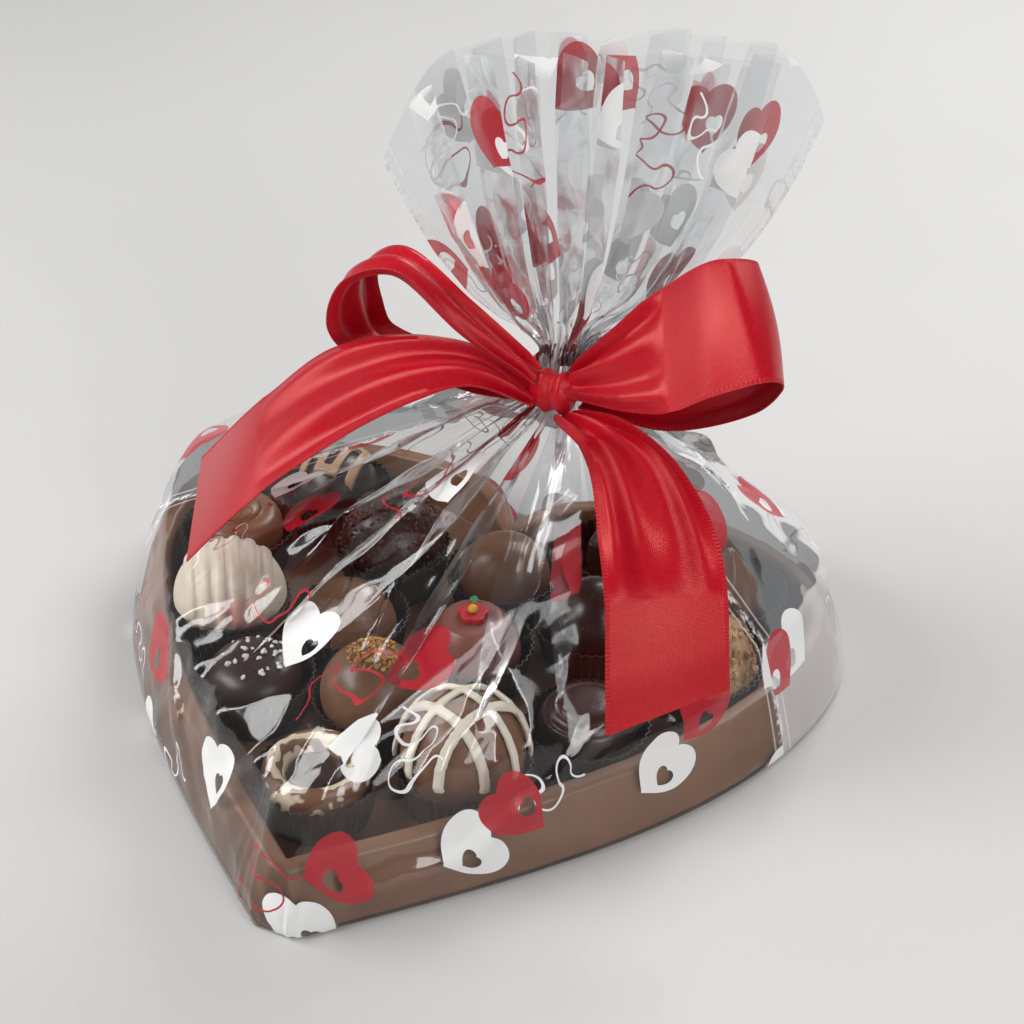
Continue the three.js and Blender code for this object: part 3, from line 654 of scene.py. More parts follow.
@dataclass(frozen=True)
class Confection:
    """A chocolate, icing, nut or paper surface: two cloudy shades, a gloss and a grain."""

    name: str
    light: Colour
    deep: Colour
    roughness: float = 0.42
    cloud: float = 70.0
    grain: float = 1400.0
    relief: float = 0.00012
    soft: float = 0.0
    blush: Colour | None = None

    def build(self) -> bpy.types.Material:
        """Makes the material.

        Returns:
            The new material.
        """
        material, graph, out = new_material(self.name)
        where = graph.node("ShaderNodeTexCoord").outputs["Object"]
        mottle = placed(graph, MOTTLE, Vector=where, Cloud_Scale=self.cloud, Grain_Scale=self.grain)
        shade = graph.blend(mottle.outputs["Mask"], self.deep, self.light)
        if self.blush is not None:
            stain = graph.node("ShaderNodeTexNoise", Vector=where, Scale=45.0, Detail=2.0)
            shade = graph.blend(graph.band(stain.outputs[0], 0.52, 0.66), shade, self.blush)
        rough = graph.add(graph.mul(mottle.outputs["Mask"], 0.12), self.roughness - 0.06)
        normal = graph.bump(mottle.outputs["Height"], self.relief, 0.8)
        graph.coat(out, Base_Color=shade, Roughness=rough, Normal=normal, Subsurface_Weight=self.soft,
                   Subsurface_Scale=0.002)
        return material


@dataclass(frozen=True)
class Marble:
    """Two chocolates swirled together."""

    name: str
    light: Colour
    deep: Colour
    roughness: float = 0.35

    def build(self, middle: Vector) -> bpy.types.Material:
        """Makes the material.

        Args:
            middle: The middle of the swirl in metres.

        Returns:
            The new material.
        """
        material, graph, out = new_material(self.name)
        where = graph.node("ShaderNodeTexCoord").outputs["Object"]
        round_middle = graph.node("ShaderNodeMapping", Vector=where)
        round_middle.inputs["Location"].default_value = -middle
        swirl = graph.node(
            "ShaderNodeTexWave", wave_type="RINGS", rings_direction="SPHERICAL",
            Vector=round_middle.outputs[0], Scale=58.0, Distortion=8.0, Detail=2.0, Detail_Scale=2.2,
        )
        mottle = placed(graph, MOTTLE, Vector=where)
        shade = graph.blend(graph.band(swirl.outputs["Fac"], 0.3, 0.62), self.deep, self.light)
        normal = graph.bump(mottle.outputs["Height"], 0.0001, 0.8)
        graph.coat(out, Base_Color=shade, Roughness=self.roughness, Normal=normal)
        return material


@dataclass(frozen=True)
class Satin:
    """Woven satin ribbon: fine threads, a broad sheen and plain stitched edges."""

    name: str
    light: Colour
    deep: Colour
    width: float = RIBBON_WIDTH
    roughness: float = 0.28

    def build(self) -> bpy.types.Material:
        """Makes the material.

        Returns:
            The new material.
        """
        material, graph, out = new_material(self.name)
        flat = graph.node("ShaderNodeTexCoord").outputs["UV"]
        weave = placed(graph, WEAVE, Vector=flat, Width=self.width * MM)
        shade = graph.blend(weave.outputs["Mask"], self.deep, self.light)
        rough = graph.add(graph.mul(weave.outputs["Edge"], 0.2), self.roughness)
        normal = graph.bump(weave.outputs["Height"], 0.00002, 0.6)
        graph.coat(out, Base_Color=shade, Roughness=rough, Normal=normal, Specular_Tint=(1.0, 0.34, 0.28),
                   Specular_IOR_Level=0.7, Sheen_Weight=0.05, Sheen_Roughness=0.3)
        return material


@dataclass(frozen=True)
class PrintedFilm:
    """Clear film printed with white and red hearts and thin curls, with milky welds along its sides."""

    name: str
    white_ink: Colour = (0.86, 0.86, 0.85)
    red_ink: Colour = (0.46, 0.006, 0.02)
    gloss: float = 0.09
    heart: float = 0.0084
    seam: float = 0.003

    def build(self) -> bpy.types.Material:
        """Makes the material.

        Returns:
            The new material.
        """
        material, graph, out = new_material(self.name)
        flat = graph.node("ShaderNodeTexCoord").outputs["UV"]
        white = placed(graph, HEARTS, Vector=flat, Cell=0.046, Size=self.heart, Seed=1.0, Share=0.78)
        shifted = graph.node("ShaderNodeMapping", Vector=flat)
        shifted.inputs["Location"].default_value = (0.031, 0.017, 0)
        red = placed(graph, HEARTS, Vector=shifted.outputs[0], Cell=0.056, Size=self.heart, Seed=4.0,
                     Share=0.75)
        curls = placed(graph, CURLS, Vector=shifted.outputs[0], Share=0.45)
        red_curls = placed(graph, CURLS, Vector=flat, Cell=0.057, Share=0.3)
        crimson = graph.math("MAXIMUM", red.outputs[0], red_curls.outputs[0])
        ink = graph.blend(crimson, self.white_ink, self.red_ink)
        pale = graph.math("MAXIMUM", white.outputs[0], curls.outputs[0])
        print_cover = graph.math("MAXIMUM", graph.mul(crimson, 0.8), graph.mul(pale, 0.9))
        weld = graph.node("ShaderNodeAttribute", attribute_name="weld").outputs["Fac"]
        fray = graph.node("ShaderNodeTexNoise", Vector=flat, Scale=420.0, Detail=3.0).outputs[0]
        from_seam = graph.math("ABSOLUTE", graph.sub(weld, self.seam))
        seam = graph.sub(1.0, graph.band(from_seam, 0.0001, 0.0005))
        edge = graph.mul(graph.sub(1.0, graph.band(weld, 0.0004, 0.0016)), graph.band(fray, 0.4, 0.6))
        milky = graph.math("MAXIMUM", graph.mul(seam, 0.4), graph.mul(edge, 0.7))
        cover = graph.math("MAXIMUM", print_cover, milky)
        where = graph.node("ShaderNodeTexCoord").outputs["Object"]
        crinkle = graph.node("ShaderNodeTexNoise", Vector=where, Scale=70.0, Detail=2.0)
        normal = graph.bump(crinkle.outputs[0], 0.0004, 0.2)
        clear = graph.node("ShaderNodeBsdfTransparent", Color=(0.95, 0.955, 0.96))
        shine = graph.node("ShaderNodeBsdfGlossy", Color=(1.0, 1.0, 1.0), Roughness=self.gloss,
                           Normal=normal)
        facing = graph.node("ShaderNodeFresnel", IOR=1.5, Normal=normal)
        share = graph.math("MINIMUM", graph.mul(facing.outputs[0], 1.1), 0.7)
        sheet = graph.node("ShaderNodeMixShader", Fac=share)
        graph.feed(sheet.inputs[1], clear.outputs[0])
        graph.feed(sheet.inputs[2], shine.outputs[0])
        inked = graph.node("ShaderNodeBsdfPrincipled", Base_Color=ink, Roughness=0.35, Normal=normal)
        whole = graph.node("ShaderNodeMixShader", Fac=cover)
        graph.feed(whole.inputs[1], sheet.outputs[0])
        graph.feed(whole.inputs[2], inked.outputs[0])
        graph.feed(out.inputs[0], whole.outputs[0])
        return material


MILK = Confection("milk chocolate", (0.21, 0.1, 0.052), (0.165, 0.074, 0.036), 0.36)
MILK_TRAY = Confection("moulded milk chocolate", (0.235, 0.115, 0.062), (0.185, 0.088, 0.045), 0.38,
                       cloud=40.0)
PINK_MILK = Confection("ruby glazed chocolate", (0.3, 0.11, 0.085), (0.24, 0.08, 0.06), 0.34)
DARK = Confection("dark chocolate", (0.04, 0.018, 0.012), (0.026, 0.011, 0.008), 0.3)
WHITE = Confection("white chocolate", (0.82, 0.74, 0.62), (0.74, 0.64, 0.5), 0.42, soft=0.15,
                   blush=(0.72, 0.33, 0.3))
CREAM = Confection("cream icing", (0.84, 0.78, 0.66), (0.78, 0.7, 0.57), 0.45, soft=0.15)
BEIGE = Confection("caramel icing", (0.5, 0.32, 0.19), (0.42, 0.25, 0.14), 0.4)
NUTS = Confection("chopped nuts", (0.55, 0.36, 0.19), (0.36, 0.2, 0.09), 0.6, cloud=260.0, relief=0.0003)
CRUMBS = Confection("cocoa crumbs", (0.16, 0.06, 0.035), (0.06, 0.025, 0.016), 0.7, cloud=300.0,
                    relief=0.0003)
GOLD_CRUMBS = Confection("toffee crumbs", (0.6, 0.33, 0.08), (0.38, 0.17, 0.04), 0.4, cloud=300.0)
FLAKES = Confection("salt flakes", (0.86, 0.86, 0.84), (0.72, 0.72, 0.7), 0.3, soft=0.1)
CUP_PAPER = Confection("glassine cup paper", (0.05, 0.026, 0.018), (0.032, 0.016, 0.011), 0.5,
                       relief=0.00006)
RED_ICING = Confection("red icing", (0.62, 0.02, 0.03), (0.5, 0.012, 0.02), 0.4, soft=0.1)
GREEN_ICING = Confection("green icing", (0.03, 0.36, 0.1), (0.02, 0.26, 0.07), 0.4, soft=0.1)
YELLOW_ICING = Confection("yellow icing", (0.9, 0.55, 0.03), (0.8, 0.42, 0.02), 0.4, soft=0.1)
MARBLE = Marble("marbled chocolate", (0.74, 0.62, 0.46), (0.2, 0.09, 0.045))
SATIN = Satin("red satin", (0.45, 0.004, 0.016), (0.4, 0.003, 0.012))
FILM = PrintedFilm("printed clear film")


# The tray and the cups


@dataclass
class HeartTray:
    """The moulded chocolate heart: softened edges on its rim, its foot and its inner corner."""

    edge: float = 0.9
    segments: int = 3

    def build(self) -> None:
        """Builds and dresses the tray."""
        tray = copied("heart_tray", "tray_moulding")
        with editing(tray):
            bpy.ops.mesh.dissolve_limited(angle_limit=math.radians(0.5))
        applied(tray, "BEVEL", width=self.edge * MM, segments=self.segments, limit_method="ANGLE",
                angle_limit=math.radians(28))
        smooth(tray, 35)
        dress(tray, MILK_TRAY.build(), Slot.MILK, stands_for=["heart_tray"])


@dataclass
class PaperCup:
    """A fluted glassine cup: a pleated wall that flares to a crimped lip."""

    flutes: int = 40
    height: float = 13.5
    flare: float = 3.2
    depth: float = 0.9
    paper: float = 0.22
    rings: int = 7

    def model(self, lip: float) -> bpy.types.Object:
        """Makes one cup standing on the origin.

        Args:
            lip: The outer radius of its lip in millimetres.

        Returns:
            The cup.
        """
        count = 2 * self.flutes
        bpy.ops.object.select_all(action="DESELECT")
        bpy.ops.mesh.primitive_circle_add(vertices=count, radius=(lip - self.flare) * MM, fill_type="NGON")
        cup = bpy.context.object
        with editing(cup):
            bpy.ops.mesh.inset(thickness=0.8 * MM)
            bpy.ops.mesh.select_all(action="DESELECT")
        for step in range(self.rings):
            self.raise_wall(cup, step, lip)
        self.pleat(cup, lip)
        applied(cup, "SOLIDIFY", thickness=self.paper * MM, offset=-1)
        return cup

    def raise_wall(self, cup: bpy.types.Object, step: int, lip: float) -> None:
        """Extrudes the wall's open edge up by one ring and flares it.

        Args:
            cup: The cup so far.
            step: The ring's number from the foot.
            lip: The outer radius of the lip in millimetres.
        """
        mesh = bmesh.new()
        mesh.from_mesh(cup.data)
        for part in (mesh.verts, mesh.edges, mesh.faces):
            for element in part:
                element.select = False
        for edge in mesh.edges:
            if edge.is_boundary:
                edge.select = True
                for vert in edge.verts:
                    vert.select = True
        mesh.to_mesh(cup.data)
        mesh.free()
        low, high = step / self.rings, (step + 1) / self.rings
        grow = (lip - self.flare * (1 - high)) / (lip - self.flare * (1 - low))
        rise = (0, 0, self.height * MM / self.rings)
        select_only(cup)
        bpy.ops.object.mode_set(mode="EDIT")
        bpy.ops.mesh.extrude_edges_move(TRANSFORM_OT_translate={"value": rise})
        bpy.ops.transform.resize(value=(grow, grow, 1), center_override=(0, 0, 0))
        bpy.ops.object.mode_set(mode="OBJECT")

    def pleat(self, cup: bpy.types.Object, lip: float) -> None:
        """Folds the wall into flutes that deepen towards the lip.

        Args:
            cup: The cup with a plain wall.
            lip: The outer radius of the lip in millimetres.
        """
        for vert in cup.data.vertices:
            radius = math.hypot(vert.co.x, vert.co.y)
            up = vert.co.z / (self.height * MM)
            if radius < 0.98 * (lip - self.flare) * MM:
                continue
            fold = round(math.atan2(vert.co.y, vert.co.x) * self.flutes / math.pi) % 2
            depth = self.depth * lerp(0.35, 1.0, up) * MM
            shrink = (radius - depth * fold) / radius
            vert.co.x *= shrink
            vert.co.y *= shrink


@dataclass
class CupSet:
    """All the paper cups, each a copy of a model of its size with a turn of its own."""

    cup: PaperCup = field(default_factory=PaperCup)
    turn: float = 0.37

    def build(self, names: Sequence[str]) -> None:
        """Builds and dresses a cup for each chocolate.

        Args:
            names: The chocolates' names.
        """
        paper = CUP_PAPER.build()
        models: dict[int, bpy.types.Object] = {}
        for number, name in enumerate(names):
            node = f"cup_{name}"
            low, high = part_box(node)
            lip = (high.x - low.x) / 2 / MM
            key = round(lip)
            if key not in models:
                models[key] = self.cup.model(lip)
            made = linked(f"paper_{name}", models[key].data.copy())
            middle = (low + high) / 2
            turn = Matrix.Rotation(self.turn * number, 4, "Z")
            made.data.transform(Matrix.Translation((middle.x, middle.y, low.z)) @ turn)
            smooth(made, 25)
            dress(made, paper, Slot.PAPER, stands_for=[node])
        for model in models.values():
            bpy.data.objects.remove(model)


# The chocolates


def rounded(node: str, name: str, levels: int = 2) -> bpy.types.Object:
    """A turned body with its facets rounded away.

    Args:
        node: The frame node to start from.
        name: The new piece's name.
        levels: How often it is subdivided.

    Returns:
        The rounded piece.
    """
    body = copied(node, name)
    applied(body, "SUBSURF", levels=levels, render_levels=levels)
    smooth(body, 60)
    return body


def melted(node: str, name: str, voxel: float = 0.3, rounds: int = 10) -> bpy.types.Object:
    """Piped or poured icing with its edges run round.

    Args:
        node: The frame node to start from.
        name: The new piece's name.
        voxel: The remesh size in millimetres.
        rounds: How often it is smoothed.

    Returns:
        The softened piece.
    """
    body = copied(node, name)
    applied(body, "REMESH", mode="VOXEL", voxel_size=voxel * MM)
    applied(body, "SMOOTH", factor=0.5, iterations=rounds)
    smooth(body, 80)
    return body


@dataclass(frozen=True)
class RibbedBall:
    """The white truffle: a round ball with thick ribs run slantwise over its crown."""

    diameter: float = 32.7
    rib_height: float = 0.9
    rib_width: float = 3.1
    spacing: float = 4.4
    ribs: int = 6
    slant: float = 28.0
    cup_height: float = 13.2
    fade: float = 2.4
    foot_room: float = 12.4
    lip_room: float = 15.3

    def model(self) -> bpy.types.Object:
        """Makes the ball in its place, on its flat foot.

        Returns:
            The ball.
        """
        low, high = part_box("choc_ribbed")
        middle = (low + high) / 2
        middle.z = high.z - (self.rib_height + self.diameter / 2) * MM
        bpy.ops.object.select_all(action="DESELECT")
        bpy.ops.mesh.primitive_uv_sphere_add(segments=224, ring_count=128, radius=self.diameter / 2 * MM)
        ball = bpy.context.object
        ball.name = "ribbed_body"
        foot = low.z - middle.z
        for vertex in ball.data.vertices:
            vertex.co = self.seated(self.raised(vertex.co, foot), foot) + middle
        smooth(ball, 60)
        return ball

    def raised(self, co: Vector, foot: float) -> Vector:
        """Moves a point of the plain ball out where a rib runs over it.

        Args:
            co: The point from the ball's middle in metres.
            foot: The height of the foot from the middle in metres.

        Returns:
            The moved point.
        """
        turn = math.radians(self.slant)
        across = (co.x * math.cos(turn) + co.y * math.sin(turn)) / MM
        last = (self.ribs - 1) / 2
        nearest = clamp(math.floor(across / self.spacing) + 0.5, -last, last)
        away = abs(across - nearest * self.spacing) / (self.rib_width / 2)
        above = ((co.z - foot) / MM - self.cup_height) / self.fade
        rise = self.rib_height * math.sqrt(max(0.0, 1 - away * away)) * clamp(above)
        return co * (1 + rise / (self.diameter / 2))

    def seated(self, co: Vector, foot: float) -> Vector:
        """Keeps a point above the foot and, below the lip, inside the paper cup.

        Args:
            co: The point from the ball's middle in metres.
            foot: The height of the foot from the middle in metres.

        Returns:
            The kept point.
        """
        up = max(0.0, (co.z - foot) / MM / self.cup_height)
        if up >= 1:
            return co
        room = (self.foot_room + (self.lip_room - self.foot_room) * up) * MM
        share = min(1.0, room / max(math.hypot(co.x, co.y), room / 2))
        return Vector((co.x * share, co.y * share, max(co.z, foot)))


@dataclass(frozen=True)
class Topping:
    """Small bits strewn over a chocolate: nuts, crumbs or salt flakes."""

    count: int
    size: float
    flat: float = 1.0
    from_height: float = 0.5
    spread: float = 1.0
    sink: float = 0.25


def strewn(base: bpy.types.Object, name: str, topping: Topping, seed: int) -> bpy.types.Object:
    """Small irregular bits pressed into the upper surface of a chocolate.

    Args:
        base: The chocolate.
        name: The new piece's name.
        topping: What is strewn.
        seed: The seed of its places.

    Returns:
        One mesh of all the bits.
    """
    dice = random.Random(seed)
    low = min(v.co.z for v in base.data.vertices)
    high = max(v.co.z for v in base.data.vertices)
    centre = sum((v.co for v in base.data.vertices), Vector()) / len(base.data.vertices)
    reach = max(math.hypot(v.co.x - centre.x, v.co.y - centre.y) for v in base.data.vertices)
    faces = [
        p for p in base.data.polygons
        if p.center.z > lerp(low, high, topping.from_height)
        and math.hypot(p.center.x - centre.x, p.center.y - centre.y) < topping.spread * reach
    ]
    weights = [p.area for p in faces]
    mesh = bmesh.new()
    for face in dice.choices(faces, weights, k=topping.count):
        spin = Matrix.Rotation(dice.uniform(0, math.tau), 4, "Z")
        tilt = face.normal.to_track_quat("Z", "Y").to_matrix().to_4x4()
        size = topping.size * MM * dice.uniform(0.55, 1.1)
        shape = Matrix.Diagonal((size, size * dice.uniform(0.6, 1.0), size * topping.flat, 1))
        place = face.center + face.normal * size * topping.flat * (0.5 - topping.sink)
        place += Vector([dice.uniform(-0.4, 0.4) * MM for _ in range(3)])
        made = bmesh.ops.create_icosphere(mesh, subdivisions=1, radius=0.5,
                                          matrix=Matrix.Translation(place) @ tilt @ spin @ shape)
        for vert in made["verts"]:
            vert.co += Vector([dice.uniform(-0.11, 0.11) * size for _ in range(3)])
    data = bpy.data.meshes.new(name)
    mesh.to_mesh(data)
    mesh.free()
    return linked(name, data)


@dataclass
class Assortment:
    """The sixteen chocolates, each riding on its own body."""

    names: Sequence[str] = (
        "net", "ring", "ribbed", "oval", "spiral", "striped", "crumb", "salted",
        "caramel", "flower", "ridged", "dome", "nut", "swirl", "cordial", "square",
    )

    def build(self) -> None:
        """Builds and dresses every chocolate."""
        self.milk, self.dark, self.cream = MILK.build(), DARK.build(), CREAM.build()
        self.plain_turned()
        self.iced()
        self.grooved_oval()
        self.strewn_tops()
        self.flower()

    def body(self, name: str, material: bpy.types.Material, slot: Slot) -> bpy.types.Object:
        """Rounds and dresses a chocolate's turned body.

        Args:
            name: The chocolate's name.
            material: Its material.
            slot: The record's slot.

        Returns:
            The body.
        """
        return dress(rounded(f"choc_{name}", f"{name}_body"), material, slot, name, [f"choc_{name}"])

    def plain_turned(self) -> None:
        """The chocolates whose body alone shows."""
        for name, material, slot in [
            ("spiral", self.milk, Slot.MILK), ("ridged", self.dark, Slot.DARK),
            ("dome", self.dark, Slot.DARK), ("cordial", self.milk, Slot.MILK),
            ("swirl", self.milk, Slot.MILK),
        ]:
            self.body(name, material, slot)
        square = melted("choc_square", "square_body", 0.4, 6)
        dress(square, self.dark, Slot.DARK, "square", ["choc_square"])

    def iced(self) -> None:
        """The chocolates with piped or poured decoration."""
        self.body("net", self.milk, Slot.MILK)
        dress(melted("net_icing", "net_piping"), self.cream, Slot.WHITE, "net", ["net_icing"])
        dress(RibbedBall().model(), WHITE.build(), Slot.WHITE, "ribbed", ["choc_ribbed"])
        self.body("striped", self.dark, Slot.DARK)
        stripes = melted("striped_icing", "striped_piping")
        dress(stripes, BEIGE.build(), Slot.CARAMEL, "striped", ["striped_icing"])
        low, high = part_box("choc_ring")
        self.body("ring", MARBLE.build((low + high) / 2), Slot.MILK)
        dress(rounded("ring_centre", "ring_pool"), self.dark, Slot.DARK, "ring", ["ring_centre"])

    def grooved_oval(self) -> None:
        """The smooth oval with two fine grooves over its crown."""
        body = melted("choc_oval", "oval_body", 0.3, 5)
        dress(body, self.milk, Slot.MILK, "oval", ["choc_oval"])

    def strewn_tops(self) -> None:
        """The chocolates rolled in or topped with small bits."""
        jobs = [
            ("crumb", CRUMBS, Slot.DARK, self.dark, Slot.DARK, Topping(520, 1.5, 0.8, 0.25), 3),
            ("nut", NUTS, Slot.CARAMEL, NUTS.build(), Slot.CARAMEL, Topping(460, 2.4, 0.6, 0.25), 5),
            ("salted", FLAKES, Slot.WHITE, self.dark, Slot.DARK, Topping(34, 2.1, 0.6, 0.72, 0.75), 7),
            ("caramel", GOLD_CRUMBS, Slot.CARAMEL, self.milk, Slot.MILK,
             Topping(150, 1.6, 0.8, 0.8, 0.5), 9),
        ]
        for name, bits, bits_slot, material, slot, topping, seed in jobs:
            body = self.body(name, material, slot)
            dress(strewn(body, f"{name}_bits", topping, seed), bits.build(), bits_slot, name)

    def flower(self) -> None:
        """The glazed chocolate with its set icing flower."""
        self.body("flower", PINK_MILK.build(), Slot.MILK)
        petals = melted("flower_petals", "flower_blossom", 0.15, 6)
        eye = rounded("flower_eye", "flower_heart")
        leaf = melted("flower_leaf", "flower_sprig", 0.12, 6)
        dress(petals, RED_ICING.build(), Slot.RED_ICING, "flower", ["flower_petals"])
        dress(eye, YELLOW_ICING.build(), Slot.YELLOW_ICING, "flower", ["flower_eye"])
        dress(leaf, GREEN_ICING.build(), Slot.GREEN_ICING, "flower", ["flower_leaf"])


# The film bag


@dataclass
class FilmBag:
    """The clear bag: its flat bottom, hugging walls, creased tent, gathered neck and pleated fan."""

    pitch: float = 35.4
    wall: float = 4.7
    flare: float = 5.0
    slack: float = 1.0
    rim_top: float = 19.1
    neck: tuple[float, float] = (32.0, 25.0)
    neck_radius: float = 4.4
    tie: float = 108.0
    tie_length: float = 16.0
    shoulder: float = 36.1
    shoulder_inset: float = 0.07
    fan_height: float = 82.0
    fan_left: float = 46.0
    fan_right: float = 63.0
    fan_depth: float = 3.5
    fan_turn: float = 0.37
    drop_left: float = 0.38
    drop_right: float = 0.24
    weld_share: float = 0.8218
    columns: int = 264
    kept_width: float = 0.86
    fold_widths: tuple[float, float] = (0.07, 0.15)
    under_share: float = 0.24
    pleat_widths: tuple[float, float] = (0.02, 0.036)
    fold_depth: tuple[float, float, float] = (4.2, 2.4, 6.5)
    pleat_depth: tuple[float, float, float] = (3.0, 2.2, 3.4)
    most_overlap: float = 1.1
    creases: int = 10
    samples: int = 80
    bridge_steps: int = 20
    front_creases: Sequence[tuple[float, float, float, float, float, float]] = (
        (0.31, 27, 0.42, 46, 3.0, 12), (0.41, 46, 0.6, 45, 3.0, 10), (0.16, 54, 0.4, 86, 2.2, 9),
        (0.47, 33, 0.64, 66, 2.6, 12), (0.66, 70, 0.74, 30, 2.4, 10), (0.76, 27, 0.97, 31, 2.2, 7),
        (0.53, 9, 0.7, 12, 1.5, 6), (0.12, 24, 0.24, 44, 2.4, 10), (0.83, 34, 0.9, 58, 2.4, 9),
    )

    def outline(self, distance: float) -> Row:
        """The right half of the bag's plan from the tip to the middle of the back.

        Args:
            distance: How far outside the tray's rim, in millimetres.

        Returns:
            The points, dense enough to be resampled.
        """
        half = 2.74 * self.pitch + self.wall
        tip = -(2.46 * self.pitch + 1.3 * self.wall)
        widest = 1.415 * self.pitch
        cleft = 1.79 * self.pitch + self.wall
        curves = [
            [(0, tip), (0.35 * half, tip + 0.32 * half), (half, widest - 0.57 * half), (half, widest)],
            [(half, widest), (half, widest + 0.46 * half), (0.12 * half, cleft + 0.41 * half), (0, cleft)],
        ]
        points: Row = []
        for number, curve in enumerate(curves):
            knots = [Vector(p) for p in curve]
            legs = [b - a for a, b in zip(knots, knots[1:])]
            for i in range(self.samples + 1):
                t = lerp(0.02 if number == 0 else 0.0, 1.0, i / self.samples)
                place, way = bezier(knots, t), bezier(legs, t).normalized()
                points.append(place + Vector((way.y, -way.x)) * distance)
                if number == 0 and abs(t - self.weld_share) < 0.0061:
                    self.weld_index = len(points) - 1
        crown = max(range(len(points)), key=lambda k: points[k].y)
        steps = range(1, self.bridge_steps + 1)
        bridge = [Vector((points[crown].x * (1 - k / self.bridge_steps), points[crown].y)) for k in steps]
        return points[: crown + 1] + bridge

    def panel_line(self, distance: float, front: bool) -> Row:
        """One panel's plan from the left weld to the right one, at even steps.

        Args:
            distance: How far outside the rim, in millimetres.
            front: Whether it is the front panel.

        Returns:
            One point for each column.
        """
        half = self.outline(distance)
        part = half[: self.weld_index + 1] if front else half[self.weld_index:][::-1]
        mirrored = [Vector((-p.x, p.y)) for p in reversed(part)]
        line = mirrored + part
        lengths = run_lengths(line)
        places, k = [], 0
        for column in range(self.columns + 1):
            target = lengths[-1] * column / self.columns
            while k + 2 < len(lengths) and lengths[k + 1] < target:
                k += 1
            share = (target - lengths[k]) / max(lengths[k + 1] - lengths[k], TINY)
            places.append(line[k].lerp(line[k + 1], clamp(share)))
        return places

    def zigzag(
        self, dice: random.Random, widths: tuple[float, float], under: float, reaches: Sequence[float]
    ) -> list[Fold]:
        """Uneven folds across a panel, each with a long face over a short one that lies under it.

        Args:
            dice: The source of its unevenness.
            widths: The least and greatest share of the panel's width in a fold.
            under: The share of a fold that its short face takes.
            reaches: The shares of the way from the neck that folds may run.

        Returns:
            For each column its height from 0 to 1, its slide sideways as a share of the panel's width, and
            its fold's reach.
        """
        lines = [(0.0, 0.0, 0.0, 1.0)]
        while lines[-1][0] < 1 - widths[1]:
            wide, reach = dice.uniform(*widths), dice.choice(reaches)
            short = wide * under * dice.uniform(0.7, 1.3)
            start = lines[-1][0]
            lines.append((start + wide - short, dice.uniform(0.6, 1.0), wide / 2, reach))
            lines.append((start + wide, dice.uniform(0.0, 0.2), -wide / 2, reach))
        lines.append((1.0, 0.0, 0.0, 1.0))
        folds, k = [], 0
        for column in range(self.columns + 1):
            share = column / self.columns
            while lines[k + 1][0] < share:
                k += 1
            low, high = lines[k], lines[k + 1]
            along = (share - low[0]) / (high[0] - low[0])
            folds.append(tuple(lerp(low[i], high[i], along) for i in (1, 2, 3)))
        return folds

    def folded(self, z: float, folds: list[Fold], pleats: list[Fold]) -> list[tuple[float, float]]:
        """The gathered film's shape at a height: its long folds, and fine pleats near the neck.

        Args:
            z: The height in millimetres.
            folds: The long folds.
            pleats: The fine pleats.

        Returns:
            For each column its offset in millimetres and its slide as a share of the panel's width.
        """
        low, high = self.tie - self.tie_length / 2, self.tie + self.tie_length / 2
        if z < self.shoulder:
            return [(0.0, 0.0)] * (self.columns + 1)
        part = 0 if z < low else 2
        away = max((low - z) / (low - self.shoulder), (z - high) / self.fan_height, 0.0)
        edge, room = (high, 30) if part else (low, 12)
        blend = 0.0 if low <= z <= high else min(abs(z - edge) / room, 1.0)
        deep, fine = (lerp(kind[1], kind[part], blend) for kind in (self.fold_depth, self.pleat_depth))
        fade = 1.0 if part else min((1 - away) / 0.25, 1.0)
        made = []
        for (height, slide, reach), (small, _, near) in zip(folds, pleats):
            whole = fade if part else clamp((reach - away) / 0.22) * fade
            short = clamp((near - away) / 0.25) * fade
            made.append((deep * whole * (height - 0.2) + fine * short * (small - 0.4), slide * whole))
        return made

    def neck_ring(self, front: bool, z: float, twist: float) -> Row:
        """One panel's row in the gathered neck.

        Args:
            front: Whether it is the front panel.
            z: The row's height in millimetres.
            twist: The turn of the row about the neck, in radians.

        Returns:
            One point for each column.
        """
        way = -1 if front else 1
        ring = []
        for column in range(self.columns + 1):
            turn = math.pi - way * math.pi * column / self.columns + twist
            ring.append(Vector((
                self.neck[0] + self.neck_radius * math.cos(turn),
                self.neck[1] + self.neck_radius * math.sin(turn),
                z,
            )))
        return ring

    def fan_ring(self, front: bool, up: float) -> Row:
        """One panel's row in the open fan.

        Args:
            front: Whether it is the front panel.
            up: The share of the fan's height.

        Returns:
            One point for each column.
        """
        way = -1 if front else 1
        ring = []
        for column in range(self.columns + 1):
            share = column / self.columns
            belly = math.sin(math.pi * share)
            across = lerp(-self.fan_left, self.fan_right, share) * up ** lerp(0.45, 0.35, share)
            deep = way * self.fan_depth * lerp(0.8, 1, up) * belly**0.7
            deep += 2.5 * wander(2.5 * share, 2 * up, 9.0) * up
            drop = lerp(self.drop_left, self.drop_right, share) * abs(2 * share - 1) ** lerp(5, 9, share)
            lift = 1 - drop + 0.03 * wander(7 * share, 0, 5.0 + way) * belly
            ring.append(Vector((
                self.neck[0] + across * math.cos(self.fan_turn) - deep * math.sin(self.fan_turn),
                self.neck[1] + across * math.sin(self.fan_turn) + deep * math.cos(self.fan_turn),
                self.tie + self.tie_length / 2 + self.fan_height * up * lift,
            )))
        return ring

    def key_rings(self, front: bool) -> list[tuple[Row, int]]:
        """The panel's main rows from the fold to the fan's top, with the steps that lead up to each."""
        out = self.slack + 0.4
        heel = self.panel_line(self.flare + out - 1.0, front)
        foot = self.panel_line(self.flare + out, front)
        rim = self.panel_line(out + 0.4, front)
        fold = heel[0].y

